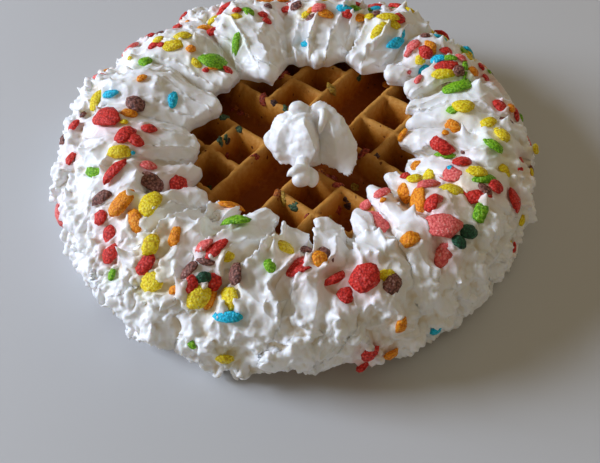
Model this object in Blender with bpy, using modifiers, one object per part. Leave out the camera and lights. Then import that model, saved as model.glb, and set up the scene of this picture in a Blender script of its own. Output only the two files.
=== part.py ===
"""A round waffle with a thick ring of piped whipped cream on its rim, a small swirl of cream in the middle,
and crisp rice flakes stuck in the ring.

Metres, +Z up. The waffle lies flat on its lower ridges. The origin is at the middle of the footprint, at the
height that the waffle lies on.
"""

import math
import random

import bmesh
import bpy
from mathutils import Matrix, Vector, noise

MM = 0.001
GAP = 0.3 * MM  # kept between pieces that touch

# Driving dimensions of the waffle
WAFFLE_RADIUS = 95 * MM
WAFFLE_THICKNESS = 28 * MM
WAFFLE_SIDES = 72
EDGE_ROUNDING = 1.6 * MM
GRID_TURN = math.radians(51)  # the pockets' rows against +X
POCKET_PITCH = 18 * MM
CHANNEL_PITCH = 22 * MM  # ridge to ridge across the two channels that part the quarters
RIDGE_WIDTH = 3 * MM
TOP_DEPTH = 13 * MM
LOWER_DEPTH = 11 * MM
WALL_SLOPE = math.radians(14)
RIM_WALL = 5 * MM
SMALLEST_CUT_POCKET = 5 * MM  # a pocket that the rim leaves narrower than this isn't made

# Driving dimensions of the cream ring: its section goes from the toe on the waffle over the crest to the foot
CREST_RADIUS = 74 * MM
CREST_HEIGHT = 43 * MM
BELLY_RADIUS = 106.5 * MM
BELLY_HEIGHT = 16 * MM
BELLY_SHIFT = 4.5 * MM  # the ring lies this much to -X on the waffle
BACK_DROP = 3 * MM  # the crest is this much lower at the back than in front
FOOT_RADIUS = 101.5 * MM
FOOT_HEIGHT = 2.5 * MM
THINNEST = 2.5 * MM  # of the cream over the waffle's rim
SKIN_ROWS = 13
COLUMN_ANGLE = 2.6  # degrees, about: from a rib's crest to the next groove

# The piped strokes, by the angle of the tip over the opening and the tip's distance from the waffle's middle
STROKE_TIPS = [
    (-168, 45), (-155, 48), (-141, 51), (-127, 50), (-113, 48), (-99, 51), (-84, 52), (-70, 50),
    (-56, 44), (-42, 44), (-28, 45), (-14, 43), (1, 46), (14, 49), (27, 52), (39, 54),
    (56, 49), (80, 47), (114, 38), (139, 45), (160, 41),
]  # fmt: skip
CREASE_SETBACK = 7 * MM  # how far the crease between two strokes lies behind their tips
STROKE_SWELL = 5.2 * MM
STROKE_RISE = 2.2 * MM  # how much higher or lower than the mean a stroke's crest is, at most
STROKE_STRAY = math.radians(5)  # how much a stroke's lean differs from its neighbours', at most
RIB_HEIGHT = 1.1 * MM
TEAR_HEIGHT = 3.2 * MM
TEAR_SIZE = 12 * MM
FRONT_LEAN = math.radians(17)  # in front and at the right the strokes run aslant

# Where the foot stops short of the base and shows the waffle's side: angle, half width, height
BARE_SIDES = [(-128, 8, 11), (-84, 7, 8), (-68, 9, 9)]

# The small swirl in the middle: its folds are the angle they point to, their reach past the core and half their
# width in degrees
SWIRL_CENTRE = Vector((2.5 * MM, -4 * MM))
SWIRL_HEIGHT = 23 * MM
SWIRL_CORE = 10 * MM
SWIRL_FOLDS = [(180, 7.5, 30), (-98, 7, 15), (-20, 9.5, 34), (52, 5.5, 18), (112, 6, 20)]
SWIRL_TWIST = 12  # degrees that a fold turns as it rises
TAIL_ANGLE = -90  # in front, where it slid down
TAIL_REACH = 11 * MM
TAIL_HALF_WIDTH = 14  # degrees
TAIL_HEIGHT = 0.45  # of the swirl's
SWIRL_LEAN = Vector((-4 * MM, 3 * MM))  # of its top
SWIRL_COLUMNS = 40
SWIRL_ROWS = 16

# Crisp rice flakes: the longest first, gathered round these angles
FLAKE_SEED = 11
FLAKE_COUNT = 84
FLAKE_LENGTHS = (13 * MM, 7.5 * MM)
FLAKE_CLUSTERS = [-168, -150, -125, -100, -68, -38, -22, -8, 20, 48, 66, 84, 112, 134, 158]
FLAKE_SPREAD = 9  # degrees
FLAKE_CLUSTERED = 0.7  # of all flakes lie near a cluster's middle
FLAKE_STATION = 0.42  # the flakes' mean place between the toe, 0, and the foot, 1
FLAKE_STATION_SPREAD = 0.17
FLAKE_WIDTH = 0.62  # of its length
FLAKE_THICKNESS = 0.42  # of its length
FLAKE_BEND = 0.12  # of its length
FLAKE_PROUD = 0.08  # of its length, how far the middle of a flake stands out of the cream
FLAKE_CLEARANCE = 0.62  # of two flakes' mean length, from middle to middle

CREAM_WHITE = (0.93, 0.94, 0.95, 1)
WAFFLE_BROWN = (0.42, 0.19, 0.05, 1)


def clear_scene():
    for old in list(bpy.data.objects):
        bpy.data.objects.remove(old, do_unlink=True)


def material(name, colour, roughness):
    made = bpy.data.materials.new(name)
    made.use_nodes = True
    shader = made.node_tree.nodes["Principled BSDF"]
    shader.inputs["Base Color"].default_value = colour
    shader.inputs["Roughness"].default_value = roughness
    shader.inputs["Metallic"].default_value = 0.0
    return made


def collection(name):
    made = bpy.data.collections.new(name)
    bpy.context.scene.collection.children.link(made)
    return made


def into(obj, home):
    for old in list(obj.users_collection):
        old.objects.unlink(obj)
    home.objects.link(obj)
    return obj


def object_from(bm, name, home):
    mesh = bpy.data.meshes.new(name)
    bm.to_mesh(mesh)
    bm.free()
    obj = bpy.data.objects.new(name, mesh)
    home.objects.link(obj)
    return obj


def as_cutter(obj):
    obj.hide_render = True
    obj.display_type = "WIRE"
    return obj


def boolean(obj, operation, cutter):
    step = obj.modifiers.new(operation.lower(), "BOOLEAN")
    step.operation = operation
    step.solver = "EXACT"
    step.object = cutter
    return step


def apply_modifiers(obj):
    graph = bpy.context.evaluated_depsgraph_get()
    finished = bpy.data.meshes.new_from_object(obj.evaluated_get(graph))
    obj.modifiers.clear()
    obj.data = finished


# The waffle


def pocket_lines():
    """The places of the ridges along one row, from the middle out: half a channel, then whole pockets."""
    lines = [CHANNEL_PITCH / 2]
    while lines[-1] < WAFFLE_RADIUS:
        lines.append(lines[-1] + POCKET_PITCH)
    return lines


def add_tapered_block(bm, low, high, depth):
    """A block that is as wide as its mouth at the face, narrows by the wall slope down to its floor, and stands
    a little proud of the face so that it cuts cleanly. low and high are the mouth's corners. The face is z = 0.
    """
    proud = 1 * MM
    block = bmesh.ops.create_cube(bm, size=1)["verts"]
    middle = (Vector(low) + Vector(high)) / 2
    size = Vector(high) - Vector(low)
    for vert in block:
        z = proud if vert.co.z > 0 else -depth
        grow = 2 * z * math.tan(WALL_SLOPE)
        vert.co = Vector(
            (
                middle.x + vert.co.x * (size.x + grow),
                middle.y + vert.co.y * (size.y + grow),
                z,
            )
        )


def pocket_block_mesh(name, depth, home):
    """The blocks for one face's pockets, in the four quarters. The rim cuts the outermost of them."""
    whole = bmesh.new()
    reach = WAFFLE_RADIUS - RIM_WALL
    lines = pocket_lines()
    half_ridge = RIDGE_WIDTH / 2
    for near_x, far_x in zip(lines, lines[1:]):
        for near_y, far_y in zip(lines, lines[1:]):
            if math.hypot(near_x, near_y) > reach - SMALLEST_CUT_POCKET:
                continue
            low = (near_x + half_ridge, near_y + half_ridge)
            high = (far_x - half_ridge, far_y - half_ridge)
            for side_x in (-1, 1):
                for side_y in (-1, 1):
                    xs = sorted((side_x * low[0], side_x * high[0]))
                    ys = sorted((side_y * low[1], side_y * high[1]))
                    add_tapered_block(whole, (xs[0], ys[0]), (xs[1], ys[1]), depth)
    return object_from(whole, name, home)


def channel_block(name, depth, home):
    bm = bmesh.new()
    half = CHANNEL_PITCH / 2 - RIDGE_WIDTH / 2
    add_tapered_block(bm, (-WAFFLE_RADIUS, -half), (WAFFLE_RADIUS, half), depth)
    return object_from(bm, name, home)


def rim_plug(name, home):
    """What the rim leaves open, as a cylinder that cuts the blocks to the rim's round inner wall."""
    bm = bmesh.new()
    reach = WAFFLE_RADIUS - RIM_WALL
    bmesh.ops.create_cone(
        bm,
        cap_ends=True,
        segments=WAFFLE_SIDES,
        radius1=reach,
        radius2=reach,
        depth=2 * WAFFLE_THICKNESS,
    )
    return object_from(bm, name, home)


def face_cutter(name, depth, home):
    """All that one face loses: pockets and the two crossing channels, cut to the rim."""
    plug = rim_plug(name + "_plug", home)
    first = channel_block(name + "_channel_a", depth, home)
    second = channel_block(name + "_channel_b", depth, home)
    second.rotation_euler.z = math.pi / 2
    pockets = pocket_block_mesh(name, depth, home)
    boolean(pockets, "UNION", first)
    boolean(pockets, "UNION", second)
    boolean(pockets, "INTERSECT", plug)
    apply_modifiers(pockets)
    for used in (plug, first, second):
        bpy.data.objects.remove(used, do_unlink=True)
    return pockets


def make_waffle(parts, cutters):
    bpy.ops.mesh.primitive_cylinder_add(
        vertices=WAFFLE_SIDES,
        radius=WAFFLE_RADIUS,
        depth=WAFFLE_THICKNESS,
        location=(0, 0, WAFFLE_THICKNESS / 2),
    )
    waffle = into(bpy.context.object, parts)
    waffle.name = "waffle"
    rounding = waffle.modifiers.new("rounded rim", "BEVEL")
    rounding.width = EDGE_ROUNDING
    rounding.segments = 1
    rounding.limit_method = "ANGLE"
    rounding.angle_limit = math.radians(60)
    upper = face_cutter("upper_pockets", TOP_DEPTH, cutters)
    upper.location.z = WAFFLE_THICKNESS
    lower = face_cutter("lower_pockets", LOWER_DEPTH, cutters)
    lower.rotation_euler.x = math.pi
    for block in (upper, lower):
        as_cutter(block)
        block.rotation_euler.z = GRID_TURN
        boolean(waffle, "DIFFERENCE", block)
    waffle.data.materials.append(material("baked waffle", WAFFLE_BROWN, 0.75))
    return waffle


# The cream ring


def smooth_step(low, high, value):
    t = min(max((value - low) / (high - low), 0), 1)
    return t * t * (3 - 2 * t)


def catmull_rom(points, t):
    """The smooth curve through the points, at t from 0 to 1, by distance between the points."""
    lengths = [0]
    for a, b in zip(points, points[1:]):
        lengths.append(lengths[-1] + (b - a).length)
    target = t * lengths[-1]
    k = 0
    while k < len(points) - 2 and lengths[k + 1] < target:
        k += 1
    u = (target - lengths[k]) / (lengths[k + 1] - lengths[k])
    p1, p2 = points[k], points[k + 1]
    p0 = points[k - 1] if k > 0 else 2 * p1 - p2
    p3 = points[k + 2] if k + 2 < len(points) else 2 * p2 - p1
    return 0.5 * (
        2 * p1
        + (p2 - p0) * u
        + (2 * p0 - 5 * p1 + 4 * p2 - p3) * u * u
        + (3 * p1 - p0 - 3 * p2 + p3) * u**3
    )


def bare_lift(angle_deg):
    """How much higher the foot ends where the cream stops short and the waffle's side shows."""
    lift = 0.0
    for middle, half_width, height in BARE_SIDES:
        away = (angle_deg - middle + 180) % 360 - 180
        lift = max(lift, height * MM * math.exp(-((away / half_width) ** 2)))
    return lift


def ring_section(toe, angle_deg):
    """The ring's section at one angle, as (radius, height) points from the toe over the crest to the foot."""
    top = WAFFLE_THICKNESS + GAP
    lift = bare_lift(angle_deg)
    crest = CREST_HEIGHT - BACK_DROP * smooth_step(-0.5, 1, math.sin(math.radians(angle_deg)))
    belly = BELLY_RADIUS - BELLY_SHIFT * math.cos(math.radians(angle_deg))
    foot = FOOT_RADIUS + 0.6 * (belly - BELLY_RADIUS)
    return [
        Vector((toe, top)),
        Vector((toe + 0.5 * MM, top + 6 * MM)),
        Vector((toe + 8 * MM, crest - 3.5 * MM)),
        Vector((CREST_RADIUS, crest)),
        Vector((CREST_RADIUS + 16 * MM, crest - 5 * MM)),
        Vector((belly - 3.5 * MM, crest - 15 * MM)),
        Vector((belly, BELLY_HEIGHT + 0.4 * lift)),
        Vector((foot, FOOT_HEIGHT + lift)),
    ]


def lean_at(angle_deg):
    """How far a stroke turns round the ring between toe and foot: most in front, none at the back."""
    away = abs((angle_deg + 60 + 180) % 360 - 180)
    return -FRONT_LEAN * (1 - smooth_step(40, 120, away))


def unevenness(stroke, quality):
    """A fixed value from -1 to 1 for one quality of one stroke, as uneven as piping by hand."""
    return 2 * ((math.sin(12.9898 * stroke + 78.233 * quality) * 43758.5453) % 1) - 1


def stroke_columns():
    """One entry for each column of the ring: its stroke, its angle at the crest, the toe's radius, x, its place
    across its stroke, from -1 at one crease to 1 at the next, and rib, 1 on a rib's crest and -1 in a groove."""
    columns = []
    count = len(STROKE_TIPS)
    for k, (tip_angle, tip_radius) in enumerate(STROKE_TIPS):
        before = (STROKE_TIPS[k - 1][0] - tip_angle) % 360 - 360
        after = (STROKE_TIPS[(k + 1) % count][0] - tip_angle) % 360
        ribs = max(2, round((after - before) / 4 / COLUMN_ANGLE))
        for column in range(2 * ribs):
            x = column / ribs - 1
            angle = tip_angle + (after if x > 0 else -before) / 2 * x
            beside = STROKE_TIPS[k - 1 if x < 0 else (k + 1) % count][1]
            mean = (tip_radius + beside) / 2 * MM + CREASE_SETBACK
            toe = tip_radius * MM + (mean - tip_radius * MM) * abs(x) ** 1.3
            columns.append((k, angle, toe, x, 2 * (column % 2) - 1))
    return columns


def skin_point(column, s):
    """The cream's surface on one column, at s from 0 at the toe to 1 at the foot.

    The section is pushed out along its normal by the stroke's swell, by its ribs, which fade towards the foot,
    and by the torn lumps, which grow towards it. The toe's and the foot's own points stay put."""
    stroke, angle_deg, toe, x, rib = column
    section = ring_section(toe, angle_deg)
    across = 1 - abs(x) ** 2.2
    point = catmull_rom(section, s)
    step = 0.01
    along = catmull_rom(section, min(s + step, 1)) - catmull_rom(
        section, max(s - step, 0)
    )
    normal = Vector((-along.y, along.x)).normalized()
    lean = lean_at(angle_deg) + STROKE_STRAY * unevenness(stroke, 1) * across
    angle = math.radians(angle_deg) + lean * (s - 0.35)
    place = Vector((point.x * math.cos(angle), point.x * math.sin(angle), point.y))
    inside = 1 - smooth_step(0.4, 0.75, s)
    swell = STROKE_SWELL * (across * (0.3 + 0.7 * inside) - 0.4)
    swell += STROKE_RISE * unevenness(stroke, 2) * across
    ribs = RIB_HEIGHT * (1 + 0.5 * unevenness(stroke, 3)) * rib
    ribs *= 0.15 + 0.85 * inside
    torn = noise.noise(place / TEAR_SIZE) + 0.5 * noise.noise(
        place / (0.5 * TEAR_SIZE) + Vector((7, 3, 1))
    )
    tears = TEAR_HEIGHT * torn * (0.3 + 0.9 * (1 - inside))
    ends = smooth_step(0, 0.12, s) * (1 - 0.7 * smooth_step(0.9, 1, s))
    point = point + normal * (swell + ribs + tears) * ends
    if s > 0.5 and point.y < WAFFLE_THICKNESS + GAP + THINNEST:
        point.x = max(point.x, WAFFLE_RADIUS + GAP + THINNEST)
    return Vector((point.x * math.cos(angle), point.x * math.sin(angle), point.y))


def under_points(skin_toe, skin_foot):
    """The ring's underside, from the foot in to the waffle's side, up it, and over the waffle to the toe."""
    clear = WAFFLE_RADIUS + GAP
    top = WAFFLE_THICKNESS + GAP
    foot = math.hypot(skin_foot.x, skin_foot.y)
    toe = math.hypot(skin_toe.x, skin_toe.y)
    foot_turn = math.atan2(skin_foot.y, skin_foot.x)
    toe_turn = math.atan2(skin_toe.y, skin_toe.x)
    turn_back = (toe_turn - foot_turn + math.pi) % (2 * math.pi) - math.pi
    stations = [
        (clear + 0.35 * (foot - clear), skin_foot.z + 0.3 * MM, 0.0),
        (clear, skin_foot.z + 2.5 * MM, 0.0),
        (clear, top, 0.15),
        (0.5 * (clear + toe), top, 0.6),
    ]
    points = []
    for radius, height, back in stations:
        turn = foot_turn + turn_back * back
        points.append(
            Vector((radius * math.cos(turn), radius * math.sin(turn), height))
        )
    return points


def make_ring_core(parts):
    """A torus with a column of vertices for each crease, rib and groove, reshaped by skin_point."""
    columns = stroke_columns()
    rows = SKIN_ROWS + 4
    bpy.ops.mesh.primitive_torus_add(
        major_segments=len(columns),
        minor_segments=rows,
        major_radius=CREST_RADIUS,
        minor_radius=10 * MM,
    )
    ring = into(bpy.context.object, parts)
    ring.name = "cream_ring"
    # The torus lists its vertices ring section by ring section, each from the outside up over the top
    for k, column in enumerate(columns):
        skin = [skin_point(column, row / (SKIN_ROWS - 1)) for row in range(SKIN_ROWS)]
        loop = skin + under_points(skin[0], skin[-1])
        for row, place in enumerate(reversed(loop)):
            ring.data.vertices[k * rows + row].co = place
    ring.data.update()
    return ring


def add_flake(bm, place, outward, turn, length):
    """A puffed rice flake: a squashed ball, twice as long as wide, bent a little over its length."""
    flake = bmesh.ops.create_uvsphere(bm, u_segments=5, v_segments=4, radius=0.5)[
        "verts"
    ]
    frame = (
        outward.to_track_quat("Z", "Y").to_matrix().to_4x4()
        @ Matrix.Rotation(turn, 4, "Z")
        @ Matrix.Rotation(math.pi / 2, 4, "Y")
    )
    size = Vector((FLAKE_THICKNESS * length, FLAKE_WIDTH * length, length))
    for vert in flake:
        shape = Vector(
            (
                vert.co.x * size.x + FLAKE_BEND * length * (0.25 - vert.co.z**2),
                vert.co.y * size.y,
                vert.co.z * size.z,
            )
        )
        vert.co = Matrix.Translation(place) @ frame @ shape


def flake_places(columns):
    """Seeded places for the flakes, the longest first: mostly in clusters, on the crest and the upper slopes,
    and never closer than the clearance."""
    draw = random.Random(FLAKE_SEED)
    taken = []
    longest, shortest = FLAKE_LENGTHS
    while len(taken) < FLAKE_COUNT:
        length = longest + (shortest - longest) * len(taken) / FLAKE_COUNT
        if draw.random() < FLAKE_CLUSTERED:
            angle = draw.gauss(draw.choice(FLAKE_CLUSTERS), FLAKE_SPREAD)
        else:
            angle = draw.uniform(-180, 180)
        s = min(max(draw.gauss(FLAKE_STATION, FLAKE_STATION_SPREAD), 0.16), 0.85)
        turn = draw.uniform(0, math.pi)
        nearest = min(columns, key=lambda c: abs((c[1] - angle + 180) % 360 - 180))
        place = skin_point(nearest, s)
        clear = all(
            (place - other).length > FLAKE_CLEARANCE * (length + size) / 2
            for other, size in taken
        )
        if clear:
            taken.append((place, length))
            yield place, nearest, s, turn, length


def fuse_flakes(ring):
    """Sets the flakes into the ring's skin and joins them to it in one union on their collection."""
    columns = stroke_columns()
    flakes = collection("flakes")
    for number, (place, column, s, turn, length) in enumerate(flake_places(columns)):
        ahead = skin_point(column, min(s + 0.05, 1)) - skin_point(
            column, max(s - 0.05, 0)
        )
        round_ring = Vector((-place.y, place.x, 0)).normalized()
        outward = ahead.cross(round_ring).normalized()
        bm = bmesh.new()
        add_flake(bm, place + outward * FLAKE_PROUD * length, outward, turn, length)
        object_from(bm, "flake_%02d" % number, flakes)
    # Flat triangles first: the union splits warped quads in ways that don't close
    ring.modifiers.new("triangles", "TRIANGULATE")
    union = ring.modifiers.new("flakes", "BOOLEAN")
    union.operation = "UNION"
    union.operand_type = "COLLECTION"
    union.collection = flakes
    union.solver = "EXACT"
    apply_modifiers(ring)
    for flake in list(flakes.objects):
        bpy.data.objects.remove(flake, do_unlink=True)
    bpy.data.collections.remove(flakes)


# The swirl in the middle


def swirl_radius(turn_deg, height):
    """The swirl's radius at an angle and a height from 0 to 1: a broad dome's, times a plan of a core with five
    folds that turn a little as they rise, and low in front the tail that slid down."""
    plan = SWIRL_CORE
    for middle, reach, half_width in SWIRL_FOLDS:
        away = (turn_deg + SWIRL_TWIST * (height - 0.5) - middle + 180) % 360 - 180
        plan += reach * MM * math.exp(-(abs(away / half_width) ** 1.6))
    away = (turn_deg - TAIL_ANGLE + 180) % 360 - 180
    tail = TAIL_REACH * math.exp(-((away / TAIL_HALF_WIDTH) ** 2))
    tail *= 1 - smooth_step(0, TAIL_HEIGHT, height)
    return plan * math.sqrt(max(1 - height**3, 0)) + tail


def make_swirl(parts):
    bpy.ops.mesh.primitive_uv_sphere_add(segments=SWIRL_COLUMNS, ring_count=SWIRL_ROWS, radius=1)
    swirl = into(bpy.context.object, parts)
    swirl.name = "cream_swirl"
    base = WAFFLE_THICKNESS + GAP
    for vert in swirl.data.vertices:
        turn = math.atan2(vert.co.y, vert.co.x)
        flat = math.hypot(vert.co.x, vert.co.y)
        rise = max(vert.co.z, 0)
        lean = SWIRL_LEAN * rise**3
        if vert.co.z < 0:
            radius = flat * swirl_radius(math.degrees(turn), 0)
        elif flat > 1e-4:
            radius = swirl_radius(math.degrees(turn), rise)
        else:
            radius = 0
        vert.co = Vector(
            (
                SWIRL_CENTRE.x + lean.x + radius * math.cos(turn),
                SWIRL_CENTRE.y + lean.y + radius * math.sin(turn),
                base + SWIRL_HEIGHT * rise,
            )
        )
    swirl.data.update()
    return swirl


def stand_on_origin(parts):
    """Moves every piece by the same amount, so that the origin is at the middle of the footprint."""
    bpy.context.view_layer.update()
    corners = [
        obj.matrix_world @ vert.co for obj in parts.objects for vert in obj.data.vertices
    ]
    middle_x = (min(c.x for c in corners) + max(c.x for c in corners)) / 2
    middle_y = (min(c.y for c in corners) + max(c.y for c in corners)) / 2
    for obj in parts.objects:
        obj.location.x -= middle_x
        obj.location.y -= middle_y


def build():
    clear_scene()
    parts = collection("waffle_with_cream")
    cutters = collection("cutters")
    cream = material("whipped cream", CREAM_WHITE, 0.45)
    waffle = make_waffle(parts, cutters)
    apply_modifiers(waffle)
    ring = make_ring_core(parts)
    fuse_flakes(ring)
    swirl = make_swirl(parts)
    for obj in (ring, swirl):
        obj.data.materials.clear()
        obj.data.materials.append(cream)
        obj.data.shade_smooth()
    stand_on_origin(parts)


build()
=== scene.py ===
"""The looks of a round baked waffle with a ring of whipped cream on its rim, a swirl of cream in its
middle and coloured rice flakes in the cream. Lengths here are millimetres, until a mesh, a light or a
node takes metres."""

import itertools
import math

import bpy
import numpy as np
from mathutils import Euler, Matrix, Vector
from mathutils.bvhtree import BVHTree


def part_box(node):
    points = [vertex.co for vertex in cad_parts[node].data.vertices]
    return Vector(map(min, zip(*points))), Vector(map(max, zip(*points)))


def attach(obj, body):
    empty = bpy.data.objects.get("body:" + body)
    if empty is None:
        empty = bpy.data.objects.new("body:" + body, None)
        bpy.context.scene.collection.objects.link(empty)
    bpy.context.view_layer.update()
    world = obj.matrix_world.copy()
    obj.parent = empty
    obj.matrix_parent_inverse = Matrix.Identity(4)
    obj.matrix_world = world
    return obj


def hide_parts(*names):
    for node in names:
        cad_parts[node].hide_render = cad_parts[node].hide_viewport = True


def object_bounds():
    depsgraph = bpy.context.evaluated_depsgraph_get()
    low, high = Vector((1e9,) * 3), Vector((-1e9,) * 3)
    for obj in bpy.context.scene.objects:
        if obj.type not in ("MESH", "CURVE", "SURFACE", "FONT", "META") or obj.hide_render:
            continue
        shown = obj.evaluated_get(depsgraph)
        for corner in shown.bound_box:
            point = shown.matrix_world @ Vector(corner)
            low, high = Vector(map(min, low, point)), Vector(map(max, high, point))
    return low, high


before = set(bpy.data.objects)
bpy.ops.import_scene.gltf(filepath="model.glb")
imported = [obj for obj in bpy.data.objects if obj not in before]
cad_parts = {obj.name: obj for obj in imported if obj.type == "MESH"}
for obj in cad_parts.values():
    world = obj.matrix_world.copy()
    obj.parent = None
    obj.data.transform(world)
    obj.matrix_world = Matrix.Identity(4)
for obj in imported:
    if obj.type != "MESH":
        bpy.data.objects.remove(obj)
cad_low, cad_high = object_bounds()

# The waffle. A round cake of batter, baked brown between two hot irons, so both faces have the same deep
# pockets and two crossing channels. Its pockets' walls slope, every edge is rounded, and the crumb shows as
# small holes.

MM = 0.001
waffle_low, waffle_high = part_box("waffle")
WAFFLE_MIDDLE = np.array([*(waffle_low + waffle_high)[:2], 0]) / 2 / MM
BOX_LOW, BOX_HIGH = (np.array(corner) / MM - WAFFLE_MIDDLE for corner in (cad_low, cad_high))
WAFFLE_RADIUS = (waffle_high.x - waffle_low.x) / 2 / MM
WAFFLE_THICKNESS = waffle_high.z / MM
GRID_TURN = math.radians(51)
POCKET_PITCH = 18
CHANNEL_PITCH = 22
RIDGE_WIDTH = 3
TOP_DEPTH = 13
LOWER_DEPTH = 11
WALL_SLOPE = math.radians(14)
RIM_WALL = 5
RIDGE_ROUNDING = 2.4
FLOOR_ROUNDING = 3.5
CRUMBLE_SIZE = 2.8
CRUMB_HOLE_SPACING = 4.5
CRUMB_GRAIN = 0.9


def linear(hex_colour):
    """The linear red, green, blue and alpha of an sRGB hex colour."""
    values = [int(hex_colour[k : k + 2], 16) / 255 for k in (1, 3, 5)]
    return [v / 12.92 if v <= 0.04045 else ((v + 0.055) / 1.055) ** 2.4 for v in values] + [1.0]


def smooth_step(low, high, value):
    """0 below low, 1 above high, and the cubic 3t^2 - 2t^3 between them."""
    t = np.clip((value - low) / (high - low), 0, 1)
    return t * t * (3 - 2 * t)


def hashed(cells, seed):
    """A fixed value from 0 to 1 for each whole-number cell: its three numbers times large primes,
    scrambled."""
    i = cells.astype(np.int64).astype(np.uint32)
    n = np.bitwise_xor.reduce(i * np.array([73856093, 19349663, 83492791], np.uint32), -1)
    n = (n ^ np.uint32(seed * 7919 + 101)) * np.uint32(2246822519)
    n = (n ^ (n >> np.uint32(15))) * np.uint32(3266489917)
    n = n ^ (n >> np.uint32(13))
    return n.astype(float) / 2**32


def lumps(points, size, seed=0):
    """Smooth lumps of one size, from about -1 to 1: a random slope at each corner of a cubic lattice,
    and between the corners the mean of their slopes' heights, weighted by 6t^5 - 15t^4 + 10t^3 along
    each axis."""
    place = points / size
    base = np.floor(place)
    inside = place - base
    weight = inside**3 * (inside * (inside * 6 - 15) + 10)
    total = np.zeros(points.shape[:-1])
    for corner in itertools.product((0, 1), repeat=3):
        corner = np.array(corner)
        rise = 2 * hashed(base + corner, 2 * seed) - 1
        turn = 2 * math.pi * hashed(base + corner, 2 * seed + 1)
        flat = np.sqrt(1 - rise**2)
        slope = np.stack([flat * np.cos(turn), flat * np.sin(turn), rise], -1)
        share = np.prod(np.where(corner, weight, 1 - weight), -1)
        total += share * np.sum(slope * (inside - corner), -1)
    return 1.6 * total


def grid_faces(rows, columns, close_rows=False, close_columns=False):
    """The quads of a grid whose vertices are listed row by row, optionally closed along either way."""
    row = np.arange(rows if close_rows else rows - 1)[:, None]
    column = np.arange(columns if close_columns else columns - 1)[None, :]
    next_row, next_column = (row + 1) % rows, (column + 1) % columns
    corners = [row * columns + column, row * columns + next_column]
    corners += [next_row * columns + next_column, next_row * columns + column]
    return np.stack([np.broadcast_to(c, (len(row), column.shape[1])) for c in corners], -1).reshape(-1, 4)


def new_piece(name, points, faces, material):
    """A smooth mesh of points in mm round the waffle's middle, put in the frame's metres, riding on the
    part."""
    placed = points.reshape(-1, 3) + WAFFLE_MIDDLE
    mesh = bpy.data.meshes.new(name)
    mesh.from_pydata((placed * MM).tolist(), [], faces if isinstance(faces, list) else faces.tolist())
    mesh.shade_smooth()
    mesh.materials.append(material)
    piece = bpy.data.objects.new(name, mesh)
    bpy.context.scene.collection.objects.link(piece)
    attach(piece, "root")
    return piece


def set_attribute(piece, name, values):
    """Gives each vertex a number, or a linear colour, that the piece's material reads by name."""
    values = np.asarray(values, float)
    kind = "FLOAT" if values.ndim == 1 else "FLOAT_COLOR"
    attribute = piece.data.attributes.new(name, kind, "POINT")
    attribute.data.foreach_set("value" if values.ndim == 1 else "color", values.ravel())


def new_material(name):
    """A new node material and its Principled shader, which is linked to the output."""
    made = bpy.data.materials.new(name)
    made.use_nodes = True
    return made, made.node_tree.nodes["Principled BSDF"]


def add(material, kind, links=(), **settings):
    """Adds one node. Settings set its properties or, where the name is a socket's, that socket. Links
    are pairs of an input's name or number and the output that feeds it."""
    node = material.node_tree.nodes.new("ShaderNode" + kind)
    for key, value in settings.items():
        if hasattr(node, key):
            setattr(node, key, value)
        else:
            node.inputs[key.replace("_", " ")].default_value = value
    for socket, source in links:
        material.node_tree.links.new(source, node.inputs[socket])
    return node


def feed(material, node, **sockets):
    """Links outputs to a node's inputs, by the inputs' names."""
    for key, output in sockets.items():
        material.node_tree.links.new(output, node.inputs[key.replace("_", " ")])


def ramp(material, source, stops):
    """A colour ramp over (position, hex colour) stops."""
    node = add(material, "ValToRGB", [("Fac", source)])
    elements = node.color_ramp.elements
    while len(elements) < len(stops):
        elements.new(0.5)
    for element, (position, colour) in zip(elements, stops):
        element.position = position
        element.color = linear(colour)
    return node.outputs["Color"]


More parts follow.
